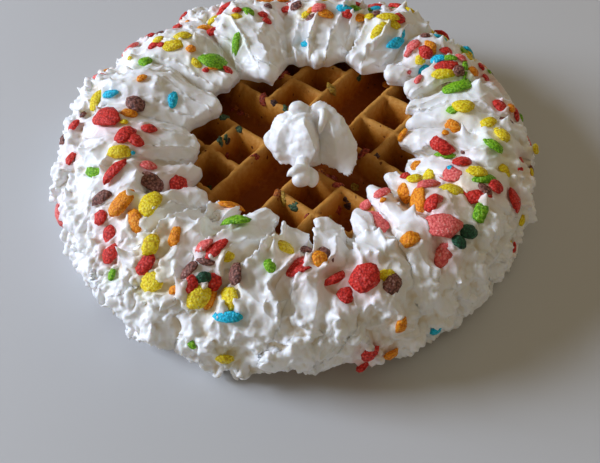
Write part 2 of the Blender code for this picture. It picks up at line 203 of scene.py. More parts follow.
def baked_batter():
    """Baked waffle batter: a dry, matt crumb with a thin crust, golden on the ridges and darker brown
    deeper in the pockets, partly the crust's real browning on the iron and partly painted shade. The colour
    follows the depth below the face, with blotches, specks and small burst bubbles, whose holes are
    darkened with painted shade."""
    made, shader = new_material("baked waffle batter")
    place = add(made, "TexCoord").outputs["Object"]
    depth = add(made, "Attribute", attribute_name="depth").outputs["Fac"]
    blotch = add(made, "TexNoise", [("Vector", place)], Scale=1 / (14 * MM), Detail=4.0, Roughness=0.6)
    grain = add(made, "TexNoise", [("Vector", place)], Scale=1 / (CRUMB_GRAIN * MM), Detail=3.0)
    speck = add(made, "TexNoise", [("Vector", place)], Scale=1 / (1.8 * MM), Detail=3.0)
    holes = add(made, "TexVoronoi", [("Vector", place)], Scale=1 / (CRUMB_HOLE_SPACING * MM))
    # Painted shade in part: the depth attribute darkens the crust deeper in the pockets, added to its
    # blotches.
    browning_and_shade = add(made, "Math", [(0, blotch.outputs["Fac"])], operation="MULTIPLY_ADD")
    browning_and_shade.inputs[1].default_value = 0.55
    made.node_tree.links.new(depth, browning_and_shade.inputs[2])
    speckled = add(
        made, "Math", [(0, speck.outputs["Fac"]), (2, browning_and_shade.outputs[0])], operation="MULTIPLY_ADD"
    )
    speckled.inputs[1].default_value = 0.6
    shifted = add(made, "Math", [(0, speckled.outputs[0])], operation="SUBTRACT")
    shifted.inputs[1].default_value = 0.56
    crust = ramp(made, shifted.outputs[0], [
        (0.0, "#C48C42"),
        (0.25, "#B6782C"),
        (0.5, "#AC6A1A"),
        (0.8, "#9A520C"),
        (1.0, "#843E04"),
    ])
    opened = add(
        made, "Math", [(0, holes.outputs["Distance"]), (2, speck.outputs["Fac"])], operation="MULTIPLY_ADD"
    )
    opened.inputs[1].default_value = 1.0
    hole = add(made, "MapRange", [("Value", opened.outputs[0])])
    hole.inputs["From Min"].default_value = 0.46
    hole.inputs["From Max"].default_value = 0.58
    # Painted shade: the crumb's small holes are darkened, as if in shadow, by multiplying in the shade ramp
    # below.
    dark = add(made, "Mix", data_type="RGBA", blend_type="MULTIPLY")
    dark.inputs["Factor"].default_value = 1.0
    made.node_tree.links.new(crust, dark.inputs[6])
    shade = ramp(made, hole.outputs[0], [(0.0, "#8C6444"), (1.0, "#FFFFFF")])
    made.node_tree.links.new(shade, dark.inputs[7])
    feed(made, shader, Base_Color=dark.outputs[2])
    relief = add(made, "Math", [(0, grain.outputs["Fac"]), (2, hole.outputs[0])], operation="MULTIPLY_ADD")
    relief.inputs[1].default_value = 0.7
    bump = add(made, "Bump", [("Height", relief.outputs[0])], Strength=0.75, Distance=0.5 * MM)
    feed(made, shader, Normal=bump.outputs[0])
    shader.inputs["Roughness"].default_value = 0.66
    shader.inputs["Specular IOR Level"].default_value = 0.18
    shader.inputs["Subsurface Weight"].default_value = 0.08
    shader.inputs["Subsurface Radius"].default_value = (1.0, 0.4, 0.15)
    shader.inputs["Subsurface Scale"].default_value = 1.5 * MM
    return made


BATTER = baked_batter()


def grid_coordinates(x, y):
    """The places along and across the pockets' rows: x and y turned back by the grid's angle."""
    along = x * math.cos(GRID_TURN) + y * math.sin(GRID_TURN)
    return along, -x * math.sin(GRID_TURN) + y * math.cos(GRID_TURN)


def pocket_depth(x, y, depth, seed):
    """How far the face lies below its ridges. With d the distance inside the nearest mouth, of a pocket
    or of a channel, it is d over the slope's tangent, held between 0 and the depth with rounded corners
    at both."""
    around = np.stack([x, y, np.full_like(x, 9.0 * seed)], -1)
    x = x + 0.5 * lumps(around, 17, seed)
    y = y + 0.5 * lumps(around, 17, seed + 1)
    insides = []
    for place in grid_coordinates(x, y):
        away = np.abs(place)
        past = away - CHANNEL_PITCH / 2
        step = np.mod(past, POCKET_PITCH)
        to_ridge = np.where(past < 0, past, np.minimum(step, POCKET_PITCH - step))
        insides.append((to_ridge - RIDGE_WIDTH / 2, CHANNEL_PITCH / 2 - RIDGE_WIDTH / 2 - away))
    (pocket_u, channel_u), (pocket_v, channel_v) = insides
    inside = np.maximum(np.minimum(pocket_u, pocket_v), np.maximum(channel_u, channel_v))
    crumbled = np.maximum(lumps(around, CRUMBLE_SIZE, seed + 2) - 0.1, 0)
    crumbled = crumbled * smooth_step(-0.3, 0.4, lumps(around, 24, seed + 3))
    fall = (inside + 1.7 * crumbled) / math.tan(WALL_SLOPE)
    fall = (fall + np.hypot(fall, RIDGE_ROUNDING)) / 2
    rest = depth - fall
    return depth - (rest + np.hypot(rest, FLOOR_ROUNDING)) / 2


def plate_lines():
    """The grid's lines along one row, alike on both sides of the middle: close together on the ridges
    and their walls, wider over the floors."""
    steps = [0, 0.8, 1.4, 1.9, 2.6, 3.4, 4.2, 4.9, 5.7, 7.2]
    reach = WAFFLE_RADIUS - RIM_WALL / 2
    ridges = np.arange(CHANNEL_PITCH / 2, reach + POCKET_PITCH, POCKET_PITCH)
    lines = [ridge + way * step for ridge in ridges for step in steps for way in (-1, 1)] + [0.0, 2.0]
    lines = np.unique(np.round(lines + [-line for line in lines], 4))
    return lines[np.abs(lines) <= reach]


def make_plate():
    """The pocketed plate inside the rim, both faces on the same lines, with a wall where the rim hides
    its edge."""
    lines = plate_lines()
    u, v = np.meshgrid(lines, lines, indexing="ij")
    x = u * math.cos(GRID_TURN) - v * math.sin(GRID_TURN)
    y = u * math.sin(GRID_TURN) + v * math.cos(GRID_TURN)
    upper_depth = pocket_depth(x, y, TOP_DEPTH, 1)
    lower_depth = pocket_depth(x, y, LOWER_DEPTH, 5)
    flat = np.stack([x, y, np.zeros_like(x)], -1)
    upper = WAFFLE_THICKNESS - 0.15 - upper_depth - 0.35 * np.abs(lumps(flat, 6, 9))
    upper = upper - 0.12 * lumps(flat, 1.9, 10)
    lower = np.maximum(lower_depth, 0.02)
    points = np.concatenate([np.stack([x, y, z], -1).reshape(-1, 3) for z in (upper, lower)])
    count = x.size
    faces = grid_faces(len(lines), len(lines))[:, ::-1]
    edge = WAFFLE_RADIUS - RIM_WALL / 2
    kept = faces[(np.hypot(x, y).ravel()[faces] < edge).all(1)]
    sides = np.concatenate([kept[:, [k, (k + 1) % 4]] for k in range(4)])
    code, back = sides[:, 0] * count + sides[:, 1], sides[:, 1] * count + sides[:, 0]
    border = sides[~np.isin(code, back)]
    wall = np.stack([border[:, 1], border[:, 0], border[:, 0] + count, border[:, 1] + count], -1)
    faces = np.concatenate([kept, kept[:, ::-1] + count, wall])
    used, faces = np.unique(faces, return_inverse=True)
    plate = new_piece("waffle_plate", points[used], faces.reshape(-1, 4), BATTER)
    depth = np.concatenate([upper_depth.ravel() / TOP_DEPTH, lower_depth.ravel() / LOWER_DEPTH])
    set_attribute(plate, "depth", depth[used])
    return plate, points[used], faces.reshape(-1, 4)


def round_about(radius, turn, height):
    """Points at these distances, angles and heights round the waffle's middle."""
    return np.stack(np.broadcast_arrays(radius * np.cos(turn), radius * np.sin(turn), height), -1)


def make_rim():
    """The closed wall round the plate: a rounded oblong section carried round the circle, with the
    irons' seam as a low ragged line at mid-height."""
    columns, rows = 400, 44
    turn = np.linspace(0, 2 * math.pi, columns, endpoint=False)[:, None]
    step = np.linspace(0, 2 * math.pi, rows, endpoint=False)[None, :]
    square = np.maximum(np.abs(np.cos(step)), np.abs(np.sin(step))) ** 0.9
    wide = (RIM_WALL - 0.2) / 2
    radius = WAFFLE_RADIUS - 0.1 - wide + wide * np.cos(step) / square
    height = WAFFLE_THICKNESS / 2 + (WAFFLE_THICKNESS / 2 - 0.1) * np.sin(step) / square
    rounding = smooth_step(0.86, 1.0, np.abs(height / WAFFLE_THICKNESS * 2 - 1))
    radius = radius - 0.9 * rounding * np.sign(np.cos(step))
    place = round_about(radius, turn, height)
    outer = smooth_step(0.2, 0.6, np.cos(step))
    seam = np.exp(-(((height - WAFFLE_THICKNESS / 2) / 1.1) ** 2)) * (0.5 + 0.5 * lumps(place, 4, 21))
    radius = radius - outer * (0.7 + 0.5 * lumps(place, 7, 20) - 0.6 * seam)
    points = round_about(radius, turn, height)
    faces = grid_faces(columns, rows, True, True)[:, ::-1]
    rim = new_piece("waffle_rim", points, faces, BATTER)
    # The batter reads this as depth: the rim's outer side is darker, partly browned crust and partly
    # painted shade under the cream's overhang.
    set_attribute(rim, "depth", (0.35 + 0.45 * outer * (1 - rounding) + 0 * turn).ravel())
    return rim


waffle_plate, plate_points, plate_faces = make_plate()
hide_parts("waffle")
make_rim()

# The camera. It stands where the photographer stood, above the front of the waffle, with a moderate lens
# and no shift. Pieces that the photograph shows are placed by a ray from it, down to the surface that
# carries them.

CAMERA_PLACE = np.array([-1.98, -223.23, 257.05])
CAMERA_TURN = Euler([math.radians(angle) for angle in (37.064, 0.1157, -0.3181)])
LENS = 43.602
SENSOR = 36
IMAGE_WIDTH = 600
IMAGE_HEIGHT = 463

camera = bpy.data.objects.new("camera", bpy.data.cameras.new("camera"))
camera.data.lens = LENS
camera.data.sensor_width = SENSOR
camera.location = (CAMERA_PLACE + WAFFLE_MIDDLE) * MM
camera.rotation_euler = CAMERA_TURN
bpy.context.scene.collection.objects.link(camera)
bpy.context.scene.camera = camera


def pixel_ray(pixel_x, pixel_y):
    """The direction from the camera through a pixel: its offset from the image's middle over the focal
    length."""
    focal = LENS / SENSOR * IMAGE_WIDTH
    offset = Vector(((pixel_x - IMAGE_WIDTH / 2) / focal, (IMAGE_HEIGHT / 2 - pixel_y) / focal, -1))
    return (CAMERA_TURN.to_matrix() @ offset).normalized()


# The cream ring. Whipped cream, piped by hand from a star nozzle in twenty-one strokes side by side, each
# from the rim over the top to a tip above the opening. It stands stiff: sharp rib crests, smooth hollows,
# torn outer side.

CREAM_GAP = 0.3
CREAM_BASE = WAFFLE_THICKNESS + CREAM_GAP
INNER_WALL = WAFFLE_RADIUS + CREAM_GAP
TIP_CIRCLE = 50
TOE_RAGS = (3.4, 0.3)
CREST_RADIUS = 74
CREST_HEIGHT = 43
BELLY_RADIUS = 104.8
BELLY_HEIGHT = 16
BELLY_SHIFT = 4.5
BACK_DROP = 3
FOOT_RADIUS = 101.5
FOOT_HEIGHT = 2.5
THINNEST = 2.0
CREASE_SETBACK = 7
STROKE_SWELL = 5.2
STROKE_RISE = 2.2
WIDE_STROKE = 19
STROKE_STRAY = math.radians(5)
RIB_HEIGHT = 2.6
SCOOP_DEPTH = 4.2
FOLD_SIZES = (15, 7.5)
FOLD_HEIGHTS = (3.0, 1.5)
NODULE_SIZES = (4.6, 2.5)
NODULE_HEIGHTS = (1.9, 1.3)
PEAK_COUNT = 170
PEAK_HEIGHTS = (1.6, 4.0)
PEAK_WIDTHS = (1.1, 2.0)
DRIP_HEIGHTS = (3.0, 2.0)
FRONT_LEAN = math.radians(17)
COLUMNS_PER_DEGREE = 4.8
SKIN_ROWS = 176
RIB_ANGLE = 6.8
# The strokes: their tips' angle over the opening, the tips' distance from the waffle's middle, and how
# sharp the ribs are, from 0 on a smooth lobe
STROKES = np.array([
    (-168, 45, 0.45), (-155, 48, 0.5), (-141, 51, 1.0), (-127, 50, 1.2), (-113, 48, 1.1), (-99, 51, 1.0),
    (-84, 52, 1.0), (-70, 50, 0.8), (-56, 44, 0.3), (-42, 44, 0.5), (-28, 45, 0.7), (-14, 43, 0.6),
    (1, 46, 0.55), (14, 49, 0.5), (27, 52, 0.5), (39, 54, 0.5), (56, 49, 0.8), (80, 47, 1.2),
    (114, 38, 0.95), (139, 45, 0.6), (160, 41, 0.2),
])
GAP_AFTER = np.mod(np.roll(STROKES[:, 0], -1) - STROKES[:, 0], 360)
GAP_BEFORE = np.roll(GAP_AFTER, 1)
STROKE_WIDTHS = (GAP_BEFORE + GAP_AFTER) / 2
STROKE_RIBS = np.maximum(2, np.round(STROKE_WIDTHS / RIB_ANGLE))
# The ring is made in four pieces, which meet in the creases before these strokes
PIECE_STARTS = [0, 6, 12, 17]
# Where the foot stops short of the base and shows the waffle's side: angle, half width, height
BARE_SIDES = [(-128, 8, 11), (-84, 7, 8), (-68, 9, 9)]


def whipped_cream():
    """Whipped cream: an opaque foam of fat and tiny bubbles, white with a soft inner glow and a moist
    sheen. Its bubbles are drawn as faint lumps of 2 mm and a few pinholes, coarser than real, so that
    they show. The colour attribute holds the white, painted shade in the hollows as a warmer, darker
    tone, and what the flakes' dyes have bled into it."""
    made, shader = new_material("whipped cream")
    place = add(made, "TexCoord").outputs["Object"]
    tone = add(made, "Attribute", attribute_name="tone").outputs["Color"]
    foam = add(made, "TexNoise", [("Vector", place)], Scale=1 / (2.2 * MM), Detail=4.0, Roughness=0.55)
    bubbles = add(made, "TexVoronoi", [("Vector", place)], Scale=1 / (5.5 * MM))
    pinhole = add(made, "MapRange", [("Value", bubbles.outputs["Distance"])])
    pinhole.inputs["From Min"].default_value = 0.03
    pinhole.inputs["From Max"].default_value = 0.09
    relief = add(
        made, "Math", [(0, foam.outputs["Fac"]), (2, pinhole.outputs[0])], operation="MULTIPLY_ADD"
    )
    relief.inputs[1].default_value = 1.2
    bump = add(made, "Bump", [("Height", relief.outputs[0])], Strength=0.35, Distance=0.5 * MM)
    feed(made, shader, Base_Color=tone, Normal=bump.outputs[0])
    shader.inputs["Roughness"].default_value = 0.38
    shader.inputs["Specular IOR Level"].default_value = 0.42
    shader.inputs["Subsurface Weight"].default_value = 0.45
    shader.inputs["Subsurface Radius"].default_value = (1.0, 0.85, 0.7)
    shader.inputs["Subsurface Scale"].default_value = 1.6 * MM
    return made


CREAM = whipped_cream()
# The cream's white, and the warmer, darker painted shade given to its hollows
CREAM_WHITE = np.array(linear("#F6F8FA"))
CREAM_HOLLOW_SHADE = np.array(linear("#E6DAC4"))


def unevenness(stroke, quality):
    """A fixed value from -1 to 1 for one quality of each stroke, as uneven as piping by hand: the
    fraction that a large multiple of a sine leaves over, doubled, less 1."""
    return 2 * np.mod(np.sin(12.9898 * stroke + 78.233 * quality) * 43758.5453, 1) - 1


def apart(angle, other):
    """The angle from other to angle in degrees, from -180 to 180."""
    return np.mod(angle - other + 180, 360) - 180


def domes(points, size, seed):
    """Rounded nodules with sharp creases between them: one centre at random in each cubic cell, and 1
    minus the square of the distance to the nearest centre over the cell's size."""
    place = points / size
    base = np.floor(place)
    nearest = np.full(points.shape[:-1], 9.0)
    for corner in itertools.product((-1, 0, 1), repeat=3):
        cell = base + np.array(corner)
        centre = cell + np.stack([hashed(cell, 3 * seed + k) for k in range(3)], -1)
        nearest = np.minimum(nearest, np.sum((place - centre) ** 2, -1))
    return 1 - nearest


def curve_through(points, steps):
    """For each column of control points, the smooth Catmull-Rom curve through them, at steps from 0 to 1
    by the straight distance between the points."""
    chords = np.linalg.norm(np.diff(points, axis=1), axis=-1)
    lengths = np.concatenate([np.zeros((len(points), 1)), np.cumsum(chords, 1)], 1)
    target = steps[None, :] * lengths[:, -1:]
    first = 2 * points[:, :1] - points[:, 1:2]
    last = 2 * points[:, -1:] - points[:, -2:-1]
    padded = np.concatenate([first, points, last], 1)
    curve = np.zeros((len(points), len(steps), points.shape[-1]))
    for span in range(points.shape[1] - 1):
        u = (target - lengths[:, span, None]) / chords[:, span, None]
        p0, p1, p2, p3 = (padded[:, span + k, None, :] for k in range(4))
        w = u[..., None]
        bend = 2 * p1 + (p2 - p0) * w + (2 * p0 - 5 * p1 + 4 * p2 - p3) * w**2
        bend = bend + (3 * p1 - p0 - 3 * p2 + p3) * w**3
        here = (u >= 0) & ((u < 1) | (span == points.shape[1] - 2))
        curve = np.where(here[..., None], bend / 2, curve)
    return curve


def grid_normals(points):
    """Outward unit normals of a grid of points that is closed along its first way."""
    along = np.roll(points, -1, 0) - np.roll(points, 1, 0)
    down = np.gradient(points, axis=1)
    normal = np.cross(down, along)
    return normal / np.maximum(np.linalg.norm(normal, axis=-1, keepdims=True), 1e-9)


def ring_columns():
    """For each column: its stroke, its angle at the crest, its toe's radius, and x, its place across the
    stroke from -1 at one crease to 1 at the next. The toe runs back from the tip to the crease as x to
    the power 1.3, with ragged points of its own."""
    counts = np.round(STROKE_WIDTHS * COLUMNS_PER_DEGREE).astype(int)
    stroke = np.repeat(np.arange(len(STROKES)), counts)
    first = np.repeat(np.cumsum(counts) - counts, counts)
    x = 2 * (np.arange(len(stroke)) - first) / counts[stroke] - 1
    tip_angle, tip_radius, _ = STROKES[stroke].T
    gap = np.where(x > 0, GAP_AFTER[stroke], GAP_BEFORE[stroke])
    beside = STROKES[np.where(x < 0, stroke - 1, (stroke + 1) % len(STROKES)), 1]
    crease = (tip_radius + beside) / 2 + CREASE_SETBACK
    angle = tip_angle + gap / 2 * x
    around = round_about(TIP_CIRCLE, np.radians(angle), 0)
    ragged = TOE_RAGS[0] * lumps(around, 6, 24) + TOE_RAGS[1] * lumps(around, 2.4, 23)
    ragged = ragged * (1 - np.abs(x) ** 4)
    return stroke, angle, tip_radius + (crease - tip_radius) * np.abs(x) ** 1.3 + ragged, x


def ring_sections(angle, toe):
    """The ring's plain section at each column, as (radius, height) points from the toe over the crest to
    the foot. The crest is lower at the back, the ring lies further out at the left, and the foot lifts
    where it is bare."""
    lift = np.max([h * np.exp(-((apart(angle, a) / w) ** 2)) for a, w, h in BARE_SIDES], 0)
    turn = np.radians(angle)
    crest = CREST_HEIGHT - BACK_DROP * smooth_step(-0.5, 1, np.sin(turn))
    belly = BELLY_RADIUS - BELLY_SHIFT * np.cos(turn)
    foot = FOOT_RADIUS + 0.6 * (belly - BELLY_RADIUS)
    even = np.ones_like(angle)
    radii = [toe, toe + 0.5, toe + 8, CREST_RADIUS * even, (CREST_RADIUS + 16) * even]
    radii += [belly - 3.5, belly, foot]
    heights = [CREAM_BASE * even, (CREAM_BASE + 5) * even, crest - 6, crest, crest - 5, crest - 15]
    heights += [BELLY_HEIGHT + 0.4 * lift, FOOT_HEIGHT + lift]
    return np.stack([np.stack(radii, -1), np.stack(heights, -1)], -1)


def stroke_place(angle):
    """Which stroke an angle in degrees lies in, and x, its place across it. Between the knots, which are
    the tips and the creases half-way between them, the count of strokes runs on evenly."""
    tips = STROKES[:, 0]
    knots = np.concatenate([tips - 360, tips, tips + 360])
    creases = (knots[1:] + knots[:-1]) / 2
    places = np.arange(len(knots)) - float(len(tips))
    order = np.argsort(np.concatenate([knots, creases]))
    all_knots = np.concatenate([knots, creases])[order]
    all_places = np.concatenate([places, places[:-1] + 0.5])[order]
    count = np.interp(angle, all_knots, all_places)
    stroke = np.round(count)
    return np.mod(stroke, len(tips)).astype(int), 2 * (count - stroke)


def push_out(points, amount):
    """Moves each point of the skin along its outward normal."""
    return points + grid_normals(points) * amount[..., None]


def keep_in_box(points, margin=0.6):
    """Presses points that come within 3 mm of the CAD solids' box, less a margin, softly back inside it."""
    low, high = BOX_LOW + margin, BOX_HIGH - margin
    soft = 3.0
    over = np.maximum(points - (high - soft), 0)
    points = points - over + soft * np.tanh(over / soft)
    under = np.maximum((low + soft) - points, 0) * np.array([1, 1, 0])
    return points + under - soft * np.tanh(under / soft)


def straying(points, size, seed):
    """How far each point strays along the three axes, so that a pattern read there wanders: lumps for
    each axis."""
    return np.stack([lumps(points, size, seed + axis) for axis in range(3)], -1)


def torn_peaks(points, s, count, seed):
    """Small pointed peaks where the nozzle tore off. Each pulls the skin round its place up and out, by
    its height times e to the minus (distance over its width) to the power 1.4."""
    draw = np.random.default_rng(seed)
    columns = draw.integers(0, points.shape[0], count)
    rows = (draw.uniform(0.3, 0.97, count) * points.shape[1]).astype(int)
    normals = grid_normals(points)
    pull = np.zeros_like(points)
    for column, row in zip(columns, rows):
        place = points[column, row]
        height, width = draw.uniform(*PEAK_HEIGHTS), draw.uniform(*PEAK_WIDTHS)
        sideways = draw.normal(0, 0.35, 3)
        ahead = 0.7 * normals[column, row] + np.array([0, 0, 0.6]) + sideways
        share = height * np.exp(-((np.linalg.norm(points - place, axis=-1) / width) ** 1.4))
        pull += share[..., None] * ahead
    return points + pull * smooth_step(0, 0.1, s)[:, None]


def make_ring_skin():
    """The ring's skin is its plain section, carried round, leaned and pushed out along its normals:
    first by each stroke's swell and its smooth scoops, then by torn folds and ribs with sharp crests and
    hollow valleys, then by nodules and peaks. A fold is 1 less the size of smooth lumps, raised to a
    power, so it is sharp where the lumps change sign. A rib is the square of a triangle wave across the
    stroke, and is weaker on a stroke that is narrower than a wide one. The creases and ribs wander more
    the further out they are, so they run straight only at the tips."""
    stroke, angle, toe, x = ring_columns()
    s = np.linspace(0, 1, SKIN_ROWS)
    section = curve_through(ring_sections(angle, toe), s)
    across = 1 - np.abs(x[:, None]) ** 2.2
    away = np.abs(apart(angle, -60))[:, None]
    lean = -FRONT_LEAN * (1 - smooth_step(40, 120, away))
    lean = lean + STROKE_STRAY * unevenness(stroke, 1)[:, None] * across
    turn = np.radians(angle)[:, None] + lean * (s - 0.35)
    points = round_about(section[..., 0], turn, section[..., 1])
    inside = 1 - smooth_step(0.35, 0.75, s)
    outside = 1 - inside
    ends = smooth_step(0, 0.08, s) * (1 - 0.3 * smooth_step(0.95, 1, s))
    free = smooth_step(0.1, 0.6, s)

    bend = 9.0 * lumps(points, 26, 30) + 3.5 * lumps(points, 11, 29)
    k, x = stroke_place(angle[:, None] + bend * free)
    across = 1 - np.abs(x) ** 2.2
    sharp = STROKES[k, 2]
    room = np.minimum(STROKE_WIDTHS[k] / WIDE_STROKE, 1)
    swell = STROKE_SWELL * (room * across * (0.25 + 0.75 * inside) - 0.4)
    swell = swell + STROKE_RISE * unevenness(k, 2) * across
    swell = swell + 2.6 * lumps(points, 13, 31) * (0.3 + 0.9 * outside)
    scoop = smooth_step(0.1, 0.6, lumps(points * np.array([1, 1, 0.6]), 17, 25)) * (0.3 + 0.7 * inside)
    points = push_out(points, (swell - SCOOP_DEPTH * scoop * np.minimum(sharp + 0.2, 1)) * ends)

    bent = points + 3.0 * straying(points, 12, 45)
    along = bent * np.array([1, 1, 0.75])
    fold = (1 - np.minimum(np.abs(lumps(along, FOLD_SIZES[0], 48)) * 1.6, 1)) ** 2.2
    fold_small = (1 - np.minimum(np.abs(lumps(along, FOLD_SIZES[1], 49)) * 1.7, 1)) ** 2
    folds = FOLD_HEIGHTS[0] * (fold - 0.3) + FOLD_HEIGHTS[1] * (fold_small - 0.3)
    points = push_out(points, folds * (0.25 + 0.75 * outside) * ends)

    phase = STROKE_RIBS[k] / 2 * (x + 1) + 0.5 + 0.12 * unevenness(k, 5)
    phase = phase + (0.55 * lumps(points, 16, 32) + 0.16 * lumps(points, 5, 33)) * (0.6 + 0.4 * free)
    phase = phase + 0.1 * np.sin(2 * math.pi * phase)
    crest = 2 * np.abs(np.mod(phase, 1) - 0.5)
    patchy = np.clip(0.9 + 1.2 * lumps(points, 16, 34) - 0.6 * scoop, 0.1, 1.6)
    strength = room * sharp * (0.4 + 0.6 * inside) * patchy
    teeth = 1 + 0.7 * lumps(points, 2.6, 43) * smooth_step(0.15, 0.55, s)
    ribs = RIB_HEIGHT * (crest**2 * teeth - 0.33) * strength * (1 + 0.4 * unevenness(k, 3))
    points = push_out(points, ribs * ends)

    crags = smooth_step(0.38, 0.72, s + 0.15 * lumps(points, 14, 35))
    patches = 0.7 * sharp * smooth_step(0.0, 0.5, lumps(points, 15, 36)) * smooth_step(0.12, 0.35, s)
    crags = np.maximum(crags, patches)
    bent = points + 1.2 * straying(points, 5, 37)
    nodules = NODULE_HEIGHTS[0] * (domes(bent, NODULE_SIZES[0], 41) - 0.55)
    nodules = nodules + NODULE_HEIGHTS[1] * (domes(bent, NODULE_SIZES[1], 42) - 0.5)
    edges = np.maximum(fold, fold_small) * outside + crest**2 * inside
    serration = 1.3 * lumps(points, 2.3, 44) * smooth_step(0.55, 1.0, edges)
    nodules = nodules * crags * (0.45 + 0.55 * edges)
    points = push_out(points, (nodules + serration + 0.3 * lumps(points, 4, 28)) * ends)
    points = torn_peaks(points, s, PEAK_COUNT, 5)

    flat = np.hypot(points[..., 0], points[..., 1])
    beside = (s > 0.5) & (points[..., 2] < CREAM_BASE + THINNEST)
    grow = np.where(beside, np.maximum(flat, INNER_WALL + THINNEST) / flat, 1)
    points = keep_in_box(points * np.stack([grow, grow, np.ones_like(grow)], -1))
    below = points * np.array([1, 1, 0])
    drip = DRIP_HEIGHTS[0] * lumps(below, 8, 26) + DRIP_HEIGHTS[1] * lumps(below, 3.2, 27)
    points[..., 2] += (drip + 0.4) * smooth_step(0.8, 1, s)
    points[..., 2] = np.maximum(points[..., 2], np.where(s < 0.4, CREAM_BASE - 0.2, 0.4))
    return points


def close_under(skin):
    """Adds the underside to the skin: in from the foot to the waffle's side, up it, and over the waffle
    to the toe. The rows turn back with the stroke's lean on the way."""
    toe, foot = skin[:, 0], skin[:, -1]
    toe_radius, foot_radius = (np.hypot(p[:, 0], p[:, 1]) for p in (toe, foot))
    toe_turn, foot_turn = (np.arctan2(p[:, 1], p[:, 0]) for p in (toe, foot))
    back = np.mod(toe_turn - foot_turn + math.pi, 2 * math.pi) - math.pi
    even = np.ones(len(skin))
    stations = [
        (INNER_WALL + 0.5 * (foot_radius - INNER_WALL), foot[:, 2] + 0.1, 0.0),
        (INNER_WALL * even, foot[:, 2] + 2.5, 0.0),
        (INNER_WALL * even, (CREAM_BASE - 0.2) * even, 0.15),
        (0.5 * (INNER_WALL + toe_radius), (CREAM_BASE - 0.2) * even, 0.6),
    ]
    rows = [round_about(radius, foot_turn + back * share, height) for radius, height, share in stations]
    return np.concatenate([skin, np.stack(rows, 1)], 1)


def hollowness(points):
    """How deep each point of a grid lies in a hollow, in mm: the mean of its neighbours a few steps
    away, along the point's outward normal."""
    total = np.zeros_like(points)
    for step in (4, 8):
        for way in (-step, step):
            total += np.roll(points, way, 0) + np.roll(points, way, 1)
    return np.sum((total / 8 - points) * grid_normals(points), -1)


def ring_piece_columns(number):
    """The columns of one piece of the ring: from a crease to a crease, both included."""
    starts = [*np.searchsorted(ring_columns()[0], PIECE_STARTS), len(ring_closed)]
    return np.arange(starts[number], starts[number + 1] + 1) % len(ring_closed)


def make_ring_piece(number):
    """One piece of the ring as a closed body: its skin and underside, with a cap in the crease at both
    ends."""
    columns = ring_piece_columns(number)
    rows = ring_closed.shape[1]
    faces = grid_faces(len(columns), rows, False, True).tolist()
    first = list(range(rows))
    last = [(len(columns) - 1) * rows + row for row in range(rows)]
    faces += [first[::-1], last]
    return new_piece("cream_ring_%d" % (number + 1), ring_closed[columns], faces, CREAM)


ring_skin = make_ring_skin()
ring_closed = close_under(ring_skin)
ring_pieces = [make_ring_piece(number) for number in range(len(PIECE_STARTS))]
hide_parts("cream_ring")
ring_grid = grid_faces(ring_closed.shape[0], ring_closed.shape[1], True, True)
ring_tree = BVHTree.FromPolygons(ring_closed.reshape(-1, 3).tolist(), ring_grid.tolist())


def cream_tone_with_shade(points):
    """The cream's colour at each point: white, with painted shade that makes the hollows a little warmer
    and darker.
    """
    hollow = smooth_step(0.05, 1.3, hollowness(points))[..., None]
    return CREAM_WHITE * (1 - hollow) + CREAM_HOLLOW_SHADE * hollow


def paint_ring(tone):
    """Gives every piece of the ring its part of the colours, and plain white on the underside."""
    under = np.broadcast_to(CREAM_WHITE, (*ring_closed.shape[:2], 4)).copy()
    under[:, : tone.shape[1]] = tone
    for number, piece in enumerate(ring_pieces):
        set_attribute(piece, "tone", under[ring_piece_columns(number)].reshape(-1, 4))


# The swirl. A last short squeeze of the same cream in the middle: a low heap of deep folds with torn edges.
# The fold at the right stands up as a broad fan, a knob on top shows where the nozzle came off, and a tail
# slid down in front.

SWIRL_APEX = (2.6, -2.2, 46.2)
SWIRL_CELL = 0.38
